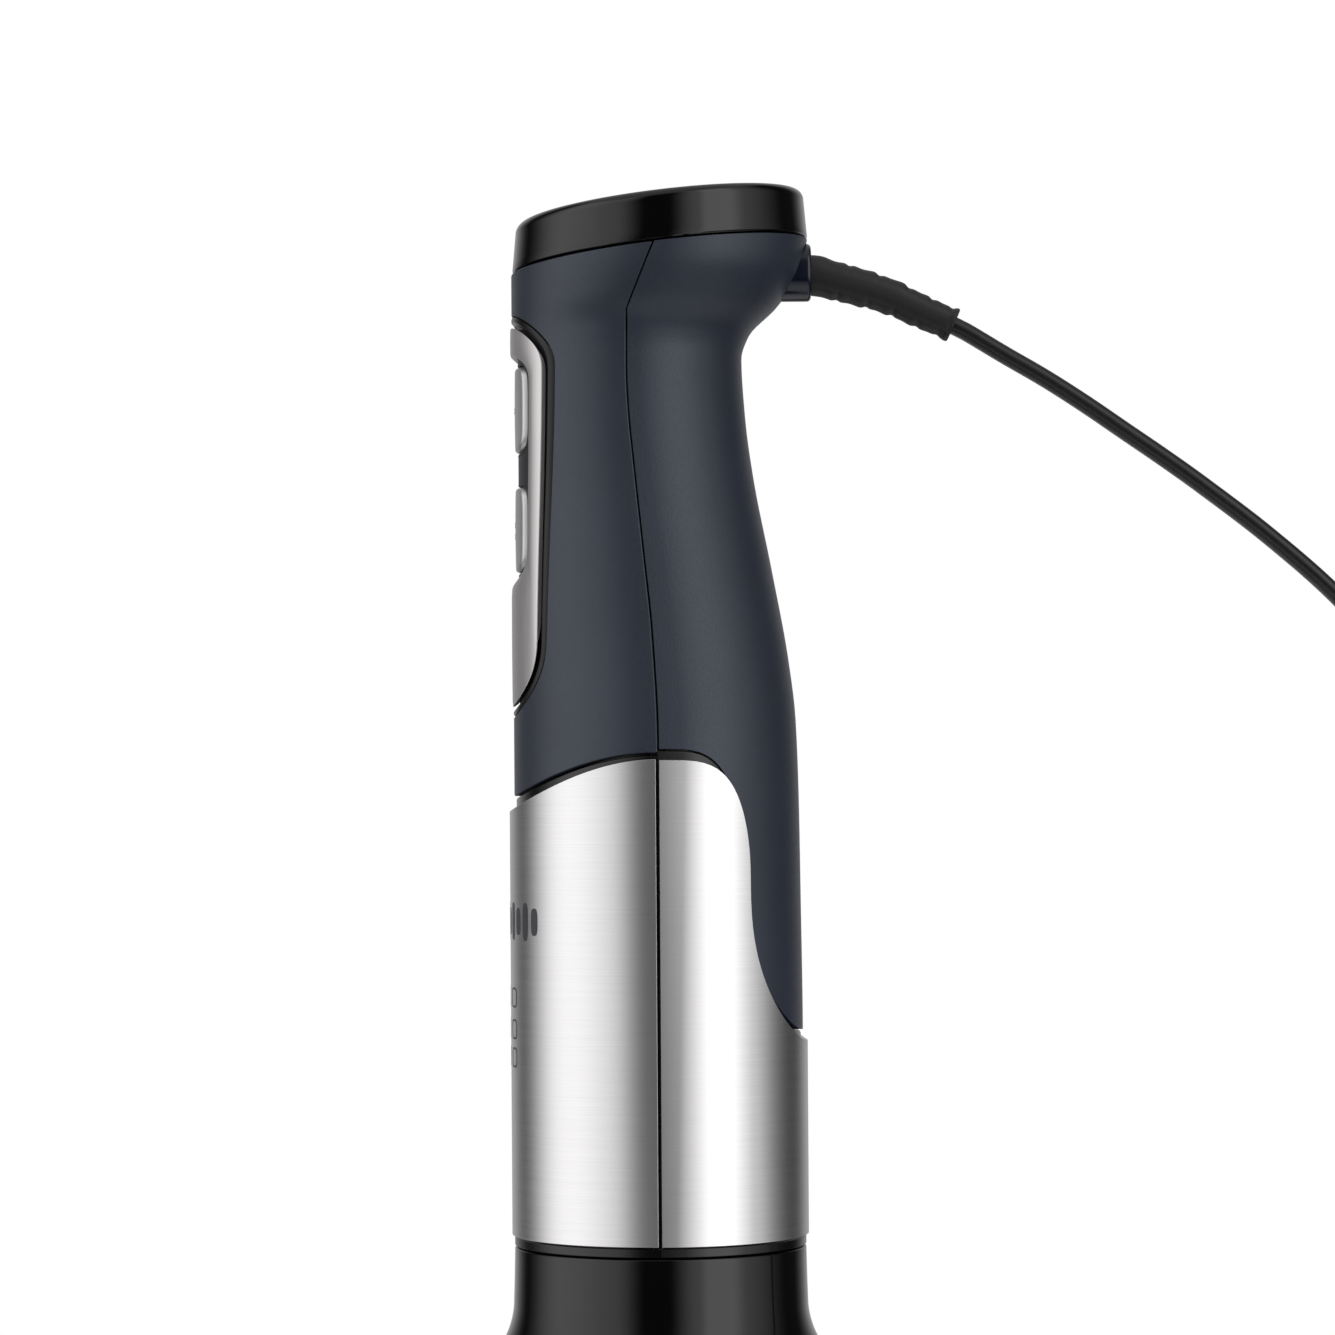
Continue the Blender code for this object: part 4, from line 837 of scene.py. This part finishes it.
def front_border(side_steps, end_steps):
    """The front shell's outer border as (angle, rise), matched to the panel's loop."""
    straight_steps = 8
    top_rise = shell_top(parting_angle(NEAR_CAP))
    levels = spread(TONGUE[2], PARTING_CORNER, side_steps - straight_steps)[:-1]
    levels += spread(PARTING_CORNER, top_rise, straight_steps)[:-1]
    side = [(parting_angle(rise) - SEAM, rise) for rise in levels]
    top_angle = parting_angle(top_rise) - SEAM
    top, bottom = [], []
    for i in range(end_steps):
        t = 1 - 2 * i / end_steps
        top.append((top_angle * t, shell_top(top_angle * t)))
        angle = -side[0][0] * t
        bottom.append((angle, front_edge(body_circle(105.0)[1] * sin(angle), *FRONT_DIP)))
    return side + top + [(-angle, rise) for angle, rise in [top[0]] + side[:0:-1]] + bottom


def build_rear_shell():
    """The back of the grip: the tongue below, the neck, and the flare with the hole for the gland."""
    half = []
    for y, rise in rear_edge(*TONGUE, CORE_RADIUS):
        radius = body_circle(rise)[1]
        edge = parting_angle(rise) + SEAM
        angle = max(pi - asin(min(1.0, y / radius)), edge)
        half.append(((angle - edge) / (pi - edge), rise))
    half[-1] = (0.0, half[-1][1])
    border = half[::-1] + [(2.0 - share, rise) for share, rise in half[1:]]
    evenly = spaced([(share * pi / 2, rise) for share, rise in border])
    sections = []
    for (low_share, low), top_share in zip(border, evenly):
        outer, inner = [], []
        for rise in column_levels(2.0 * top_share, low):
            share = low_share + (2.0 * top_share - low_share) * ease((rise - low) / (215.0 - low))
            edge = parting_angle(rise) + SEAM
            angle = edge + (pi - edge) * share
            outer.append(on_body(angle, rise))
            inner.append(on_body(angle, rise, SHELL))
        sections.append(outer + inner[::-1])
    shell = lofted("rear_shell_soft", sections, SOFT_GRIP, ladder=True)
    soften(shell, 0.35)
    hole = [(0.0, 22.0), (6.75, 22.0), (6.75, 45.0), (0.0, 45.0)]
    centre = (0.0, SEAM_Z + GLAND_RISE)
    carve(shell, [turned("gland_cutter", hole, SOFT_GRIP, segments=64, centre=centre, along_x=True)])
    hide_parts("rear_grip_shell")
    build_seam_tongues()


def build_seam_tongues():
    """The dark tongue behind the joint of the two shells, at both sides, that keeps light from passing."""
    corners = ((-0.06, 2.05), (0.06, 2.05), (0.06, 2.8), (-0.06, 2.8))
    for label, side in (("left", -1), ("right", 1)):
        sections = []
        for rise in spread(104.0, 224.0, 120):
            middle = parting_angle(rise)
            sections.append([on_body(side * (middle + turn), rise, depth) for turn, depth in corners])
        lofted(f"seam_tongue_{label}", sections, BLACK_PLASTIC)


def column_levels(share, low):
    """Rises of one column's points: from the lower edge, through the neck, to the cap."""
    edge = parting_angle(NEAR_CAP) + SEAM
    top = shell_top(edge + (pi - edge) * share)
    return (spread(low, 120.0, 16)[:-1] + spread(120.0, 198.0, 26)[:-1]
            + spread(198.0, PARTING_CORNER, 12)[:-1] + spread(PARTING_CORNER, top, 14))


def build_cap():
    """The glossy cap, which leans up to the rear, with a softly rounded top edge."""
    low, top = SEAM_Z + CAP_RISE, SEAM_Z + CAP_RISE + CAP_HEIGHT
    side = [(33.45, low), (33.75, low + 0.25)]
    side += [(33.8 - 0.75 * t, low + 0.5 + 8.3 * t) for t in spread(0.0, 1.0, 6)]
    edge = arc((30.6, top - 2.9), 2.45, 4, 78, 12)
    crown = [(radius, top + 0.6 - 0.95 * (radius / 31.0) ** 2) for radius in (28.0, 22.0, 15.0, 8.0, 0.0)]
    inside = [(0.0, top - 2.0), (30.8, top - 3.0), (31.4, low)]
    profile = side + edge + crown + inside
    cap = turned("cap_gloss", profile, GLOSS_BLACK, "motor_unit", 192, (CAP_CENTRE, 0.0), CAP_TILT)
    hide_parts("top_cap")


def ring_on_front(name, outline, opening, rims, finish, node, round_by):
    """A ring round the panel through (share from outline to opening, depth) rims."""
    sections = []
    for share, depth in rims:
        shape = tuple(a + (b - a) * share for a, b in zip(outline, opening))
        sections.append(on_front(panel_loop(shape), depth))
    ring = lofted(name, sections, finish, closed=True)
    soften(ring, round_by)
    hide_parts(node)


def build_panel():
    """Surround, bezel and the membrane that the buttons look through."""
    rims = ((0.0, 0.15), (0.3, -0.05), (0.56, 0.0), (0.66, 0.5), (1.0, 0.6), (1.0, 3.0), (0.0, 3.0))
    ring_on_front("surround_strip", SURROUND, SURROUND_INNER, rims, GREY_TRIM, "bezel_surround", 0.12)
    rims = ((0.25, 0.12), (0.0, -0.02), (0.0, -0.18), (0.05, -0.28), (0.5, -0.33), (0.9, -0.3), (0.97, -0.2),
            (1.0, 0.1), (1.0, 1.15), (0.25, 1.15))
    ring_on_front("bezel_brushed", BEZEL, BEZEL_OPENING, rims, STEEL_BEZEL, "control_bezel", 0.06)
    build_membrane()


def build_membrane():
    """The soft membrane under the bezel, with a raised lip round each button's window."""
    middle = 166.0
    shares = (0.0, 0.25, 0.5, 0.75, 0.97)
    sections = []
    for depth, order in ((1.4, shares[::-1]), (2.4, shares)):
        for share in order:
            shrunk = [(y * (1 - share), middle + (rise - middle) * (1 - share * 0.5))
                      for y, rise in panel_loop(MEMBRANE)]
            sections.append(on_front(shrunk, depth))
    membrane = lofted("membrane_soft", sections, MEMBRANE_RUBBER)
    cutters = []
    for rise in (SPEED_RISE, TURBO_RISE):
        window = button_loop(0.4, 90, rise)
        walls = [[(x, y, SEAM_Z + z) for y, z in window] for x in (-40.0, -15.0)]
        cutters.append(lofted("window_cutter", walls, MEMBRANE_RUBBER))
    carve(membrane, cutters)
    bm = bmesh.new()
    bm.from_mesh(membrane.data)
    bmesh.ops.remove_doubles(bm, verts=bm.verts, dist=0.15 * MM)
    bmesh.ops.triangulate(bm, faces=bm.faces, ngon_method="BEAUTY")
    bm.to_mesh(membrane.data)
    bm.free()
    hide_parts("button_membrane")
    for label, rise in (("speed", SPEED_RISE), ("turbo", TURBO_RISE)):
        rims = ((0.45, 1.7), (0.5, 1.35), (0.8, 1.3), (1.1, 1.7))
        lip = [on_front(button_loop(grow, 120, rise), depth) for grow, depth in rims]
        soften(lofted(f"{label}_lip", lip, MEMBRANE_RUBBER, closed=True), 0.12, 2)


def button_loop(grow, steps, rise):
    """A button's outline, grown by a margin, about its own rise."""
    return rounded_loop(BUTTON_HALF_WIDTH + grow, BUTTON_HALF_HEIGHT + grow, steps, 5.0, (0.0, rise))


def build_button(label, rise, marks):
    """A button with a chamfered, slightly crowned face, and one or more small raised bars on it."""
    body = f"{label}_button_body"
    middle = (0.0, rise)
    loop = button_loop(0.0, 120, rise)
    rims = ((0.12, 0.62), (0.4, 0.63), (0.65, 0.65), (0.85, 0.68), (0.925, 0.71), (0.945, 0.77),
            (0.965, 0.92), (0.975, 1.1), (1.0, 1.9), (1.0, 3.0), (1.08, 3.0), (1.08, 3.8))
    sections = [on_front(scaled(loop, share, middle), depth) for share, depth in rims]
    sections.append([(-28.6, y, SEAM_Z + z) for y, z in scaled(loop, 0.55, middle)])
    button = lofted(f"{label}_button_cap", sections, BUTTON_GREY, body, fan=True)
    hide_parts(f"{label}_button")
    for i in range(marks):
        at = (0.0, rise + 2.6 * (i - (marks - 1) / 2))
        bar = []
        for grow, depth in ((1.0, 0.8), (1.0, 0.56), (0.75, 0.5)):
            bar.append(on_front(rounded_loop(3.2 * (0.9 + 0.1 * grow), 0.65 * grow, 32, 3.0, at), depth))
        lofted(f"{label}_bar_{i}", bar, BUTTON_MARK, body)


def build_sleeve_marks():
    """A generic printed row of rounded bars on the front plate, over three rows of small frames."""
    under, over = -0.08, 0.04
    for i in range(11):
        loop = rounded_loop(1.35, 4.3 if i % 2 else 3.1, 28, 3.2, (4.1 * (i - 5), SEAM_Z + 74.6))
        sections = [wrapped(loop, SLEEVE_RADIUS, at) for at in (under, over)]
        lofted(f"plate_bar_{i}", sections, PRINT_DARK)
    for row, rise in enumerate((57.2, 50.0, 43.6)):
        for column in (-1, 0, 1):
            sections = []
            for half, at in ((2.3, under), (2.3, over), (1.85, over), (1.85, under)):
                loop = rounded_loop(half, half, 32, 4.0, (8.4 * column, SEAM_Z + rise))
                sections.append(wrapped(loop, SLEEVE_RADIUS, at))
            lofted(f"plate_frame_{row}_{column + 1}", sections, PRINT_DARK, closed=True)


# Cord

def build_gland():
    """The round gland in the rear shell, with a rounded rim and a fine step where it meets the relief."""
    profile = [(2.4, 27.5), (6.6, 27.5), (6.6, 34.9)] + arc((5.7, 34.9), 0.9, 0, 90, 6) + [(2.4, 35.8)]
    gland = turned("gland_gloss", profile, GLAND_NAVY, "motor_unit", 96,
                   (0.0, SEAM_Z + GLAND_RISE), along_x=True)
    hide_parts("cord_gland")


def build_relief():
    """The soft relief: an oval sleeve with shallow notches across its top and underside, and an end lip."""
    route = ((33.0, 222.6), (36.1, 222.1), (39.4, 221.2), (46.2, 219.4), (53.8, 217.0), (61.4, 213.4),
             (68.5, 210.3))
    notches = ((43.6, 0.9), (50.4, 1.0), (56.7, 1.0), (62.2, 1.0), (66.9, 0.9))
    half_wide, half_thin = 4.9, 4.3
    path, _ = curve_through([(x, 0.0, SEAM_Z + rise) for x, rise in route], 0.3)

    def swell(x, thin):
        """Growth across and up at a place: the taper, the notches, the bellies between them and the lip."""
        taper = 1.05 - 0.17 * ease((x - 36.0) / 32.0)
        place = x + (0.9 if thin < 0 else 0.0)
        cut = sum(deep * exp(-((place - at) / 0.75) ** 2) for at, deep in notches)
        belly = cos((place - 40.5) * 2 * pi / 6.1)
        share = abs(thin) / 4.35
        lip = 0.03 * ease((x - 67.2) / 0.4)
        return taper + lip, taper * (1.0 - share * (0.12 * cut + 0.035 * belly)) + lip

    section = rounded_loop(half_wide, half_thin, 48, 2.3)
    sides = [Vector((0.0, 1.0, 0.0))] * len(path)
    relief = swept("relief_soft", path, section, sides, RELIEF_RUBBER, swell)
    soften(relief, 0.3, 2, 55.0)
    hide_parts("strain_relief")
    return relief


def cord_route():
    """Every point of the cord: down from the relief, round the coil, and into the plug."""
    coil = []
    first, last = COIL_DEGREES
    for at in range(first, last + 1, 15):
        turn = radians(at)
        radius = coil_radius(at)
        settle = 1.2 * (1.0 - ease((at - first) / 40))
        coil.append((COIL_CENTRE[0] + radius * cos(turn), COIL_CENTRE[1] + radius * sin(turn),
                     COIL_Z + settle))
    return [*CORD_ROUTE, *coil, *TAIL_ROUTE]


def coil_radius(at):
    """The coil's radius after so many degrees of turn."""
    return COIL_START_RADIUS + COIL_PITCH * at / 360


def cord_sides(path):
    """The cord's wide direction at each point: across at the relief, upright once it lies in the coil."""
    side = Vector((0.0, 1.0, 0.0))
    carried = []
    for i in range(len(path)):
        along = heading(path, i)
        side = (side - along * side.dot(along)).normalized()
        carried.append(side)
    start = next(i for i, point in enumerate(path) if point.x > 150.0)
    stop = next(i for i, point in enumerate(path) if point.z < COIL_Z + 1.5)
    along = heading(path, stop)
    upright = Vector((0.0, 0.0, 1.0)) - along * along.z
    twist = atan2(along.dot(carried[stop].cross(upright)), carried[stop].dot(upright))
    twist -= pi * round(twist / pi)
    sides = []
    for i, side in enumerate(carried):
        along = heading(path, i)
        side = Matrix.Rotation(twist * ease((i - start) / (stop - start)), 3, along) @ side
        if i > stop:
            lay = Vector((0.0, 0.0, copysign(1.0, side.z)))
            side = lay - along * lay.dot(along)
        sides.append(side.normalized())
    return sides


def cord_section():
    """The flat lead's outline: two cores side by side under one sheath, with a shallow valley between."""
    outline = []
    for a, b in rounded_loop(CORD_WIDTH / 2, CORD_THICK / 2, 32, 2.1):
        outline.append((a, b * (1.0 - 0.13 * exp(-(a / 0.9) ** 2))))
    return outline


def build_cord():
    """The whole lead as one piece, with its tie and plug."""
    path, length = curve_through(cord_route(), 2.2)
    cord = swept("mains_cord", path, cord_section(), cord_sides(path), CORD_RUBBER)
    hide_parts("power_cord", "cord_coil", "cord_tail")
    tie = build_tie()
    plug = build_plug()
    pins = build_pins()


def build_tie():
    """A narrow strap round the coil's turns, on the side away from the plug."""
    near = coil_radius(270) - CORD_THICK / 2 - 0.15
    far = coil_radius(990) + CORD_THICK / 2 + 0.15
    middle = ((near + far) / 2, COIL_Z + 0.3)
    sections = []
    for across, grow in ((-3.6, 0.0), (-3.6, 0.45), (3.6, 0.45), (3.6, 0.0)):
        loop = rounded_loop((far - near) / 2 + grow, CORD_WIDTH / 2 + grow, 64, 6.0, middle)
        sections.append([(COIL_CENTRE[0] + across, COIL_CENTRE[1] - radial, z) for radial, z in loop])
    tie = lofted("cord_tie", sections, BASE_RUBBER, closed=True)
    soften(tie, 0.15, 2)
    return tie


def build_plug():
    """The moulded two-pin plug: a flat face, waisted finger grips and a ribbed tail."""
    stations = (
        (110.0, 5.0, 4.6), (109.6, 5.4, 5.0), (106.0, 5.9, 5.4), (102.0, 6.8, 6.0), (98.5, 9.5, 7.8),
        (95.5, 14.5, 10.6), (92.5, 17.2, 12.3), (89.0, 17.9, 12.8), (84.0, 17.2, 12.1), (80.0, 17.2, 12.1),
        (77.0, 17.9, 12.8), (75.0, 18.0, 12.9), (74.25, 17.7, 12.6), (74.0, 17.2, 12.1),
    )
    wide_line = sorted((x, wide) for x, wide, _ in stations)
    tall_line = sorted((x, tall) for x, _, tall in stations)
    sections = []
    for x in spread(stations[0][0], stations[-1][0], 110):
        wide, tall = smooth(wide_line, x), smooth(tall_line, x)
        rib = 0.25 * max(0.0, sin((x - 99.5) * 2 * pi / 2.4)) if 99.5 < x < 109.1 else 0.0
        section = []
        for across, up in rounded_loop(wide - rib, tall - rib, 64, 3.0 if x < 95 else 2.6):
            section.append((x, PLUG_Y + across, PLUG_Z + up))
        sections.append(section)
    plug = lofted("plug_moulded", sections, CORD_RUBBER)
    soften(plug, 0.3, 2, 50.0)
    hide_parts("power_plug")
    return plug


def build_pins():
    """The plug's two round pins with sleeved roots."""
    profile = [(0.0, 54.7), (1.0, 54.75), (1.7, 55.0), (2.15, 55.5), (2.4, 56.3), (2.4, 64.0), (2.4, 64.05),
               (0.0, 64.05)]
    sleeve = [(0.0, 64.1), (2.3, 64.1), (2.3, 73.8), (0.0, 73.8)]
    pins = []
    for node, across in (("plug_pin_left", 9.5), ("plug_pin_right", -9.5)):
        at = (PLUG_Y + across, PLUG_Z)
        metal = turned(f"{node}_metal", profile, NICKEL, segments=48, centre=at, along_x=True)
        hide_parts(node)
        root = turned(f"{node}_sleeve", sleeve, CORD_RUBBER, segments=48, centre=at, along_x=True)
        pins += [metal, root]
    return pins


# Carried-over CAD nodes

def finish_nodes():
    """Gives every CAD node that still shows a real material and rounded shading."""
    finishes = (
        (BLACK_PLASTIC, ("bayonet_ring", "speed_switch", "turbo_switch")),
        (PALE_PLASTIC, ("lid_bush", "lid_coupling", "switch_carrier", "lower_motor_bracket",
                        "upper_motor_bracket", "cooling_fan", "drive_coupling", "cord_clamp")),
        (STEEL_TURNED, ("motor_shaft", "lower_bearing", "upper_bearing", "clamp_screw_left",
                        "clamp_screw_right", "motor_screw_front", "motor_screw_rear")),
        (CORE_STEEL, ("stator_core", "armature_core")),
        (COPPER, ("field_coil_left", "field_coil_right", "armature_winding_lower", "armature_winding_upper",
                  "commutator")),
        (BRASS, ("brush_holder_front", "brush_holder_rear")),
        (CARBON, ("carbon_brush_front", "carbon_brush_rear")),
        (BOARD, ("circuit_board",)),
        (BASE_RUBBER, ("damper_ring",)),
        (CORD_RUBBER, ("lead_wires",)),
    )
    for finish, nodes in finishes:
        for name in nodes:
            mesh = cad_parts[name].data
            mesh.materials.clear()
            mesh.materials.append(finish)
            smooth_shading(mesh, 32.0)


# Stage

def lobe(tree, value, rise, fall, strength):
    """A soft-edged band of light over a value: up between the rise pair, down between the fall pair."""
    ends = []
    for (low, high), (start, stop) in ((rise, (0.0, 1.0)), (fall, (1.0, 0.0))):
        ranged = add(tree, "MapRange", Value=value, From_Min=low, From_Max=high, To_Min=start, To_Max=stop)
        ranged.interpolation_type = "SMOOTHSTEP"
        ends.append(ranged.outputs["Result"])
    return calculate(tree, "MULTIPLY", calculate(tree, "MULTIPLY", *ends), strength)


def calculate(tree, operation, *values):
    """One Math node; a value is a socket or a number."""
    node = tree.nodes.new("ShaderNodeMath")
    node.operation = operation
    for i, value in enumerate(values):
        feed(tree, node, i, value)
    return node.outputs["Value"]


def build_studio():
    """A white backdrop, and round the object two tall soft lights, a pale rear and a top light."""
    world = bpy.data.worlds.new("studio")
    bpy.context.scene.world = world
    world.use_nodes = True
    tree = world.node_tree
    tree.nodes.clear()
    place = add(tree, "TexCoord").outputs["Generated"]
    x, y, z = add(tree, "SeparateXYZ", Vector=place).outputs
    turn = calculate(tree, "ARCTAN2", x, calculate(tree, "MULTIPLY", y, -1.0))
    azimuth = calculate(tree, "MULTIPLY", turn, degrees(1.0))
    bands = (
        (azimuth, (-129.0, -78.0), (-38.0, -12.0), 1.05),
        (azimuth, (-118.0, -84.0), (-70.0, -34.0), 0.38),
        (azimuth, (6.0, 30.0), (54.0, 116.0), 1.12),
        (azimuth, (29.0, 38.0), (56.0, 72.0), 0.75),
        (calculate(tree, "ABSOLUTE", azimuth), (128.0, 160.0), (400.0, 401.0), 0.5),
    )
    around = 0.03
    for band in bands:
        around = calculate(tree, "ADD", around, lobe(tree, *band))
    low_part = lobe(tree, z, (-0.6, -0.2), (0.72, 0.9), 1.0)
    top = lobe(tree, z, (0.72, 0.9), (2.0, 2.1), 0.6)
    light = calculate(tree, "ADD", calculate(tree, "MULTIPLY", around, low_part), top)
    studio = add(tree, "Background", Color=WHITE, Strength=light)
    backdrop = add(tree, "Background", Color=WHITE)
    mix = add(tree, "MixShader", Fac=add(tree, "LightPath").outputs["Is Camera Ray"])
    feed(tree, mix, 1, studio.outputs["Background"])
    feed(tree, mix, 2, backdrop.outputs["Background"])
    add(tree, "OutputWorld", Surface=mix.outputs["Shader"])
    bpy.context.scene.view_settings.view_transform = "Standard"


def build_floor():
    """A pale round floor that fades out into the backdrop."""
    bm = bmesh.new()
    bmesh.ops.create_circle(bm, cap_ends=True, segments=96, radius=0.5)
    mesh = bpy.data.meshes.new("floor")
    bm.to_mesh(mesh)
    bm.free()
    pale = material("pale_floor", (0.55, 0.55, 0.55), 0.6, Emission_Color=WHITE, Emission_Strength=0.42)
    reach = add(pale.node_tree, "VectorMath")
    reach.operation = "LENGTH"
    feed(pale.node_tree, reach, 0, add(pale.node_tree, "TexCoord").outputs["Object"])
    vary(pale, reach.outputs["Value"], "Alpha", 1.0, 0.0, 0.22, 0.48)
    mesh.materials.append(pale)
    floor = bpy.data.objects.new("floor", mesh)
    floor.location.z = -0.0002
    bpy.context.scene.collection.objects.link(floor)


def build_camera():
    """A level camera a metre to the side, with a slight roll."""
    distance = 0.994
    frame_width = 0.30625
    data = bpy.data.cameras.new("camera")
    data.sensor_width = 36.0
    data.lens = data.sensor_width * distance / frame_width
    data.shift_y = 0.094
    camera = bpy.data.objects.new("camera", data)
    camera.location = (0.0022, -distance, 0.2335)
    roll = radians(-0.37)
    camera.rotation_euler = (Matrix.Rotation(pi / 2, 3, "X") @ Matrix.Rotation(roll, 3, "Z")).to_euler()
    bpy.context.scene.collection.objects.link(camera)
    bpy.context.scene.camera = camera


# The whole

build_camera()
build_studio()
build_floor()
relief_piece = build_relief()
build_cord()
build_gland()
build_cap()
build_front_shell()
build_rear_shell()
build_core()
build_sleeve()
build_sleeve_marks()
build_panel()
build_button("speed", SPEED_RISE, 1)
build_button("turbo", TURBO_RISE, 2)
build_base_ring()
build_bowl()
build_hub()
build_blade("lower_blade_ground", "lower_blade", 20.0, 0.0)
build_blade("upper_blade_ground", "upper_blade", 46.0, pi / 2)
build_lid()
finish_nodes()
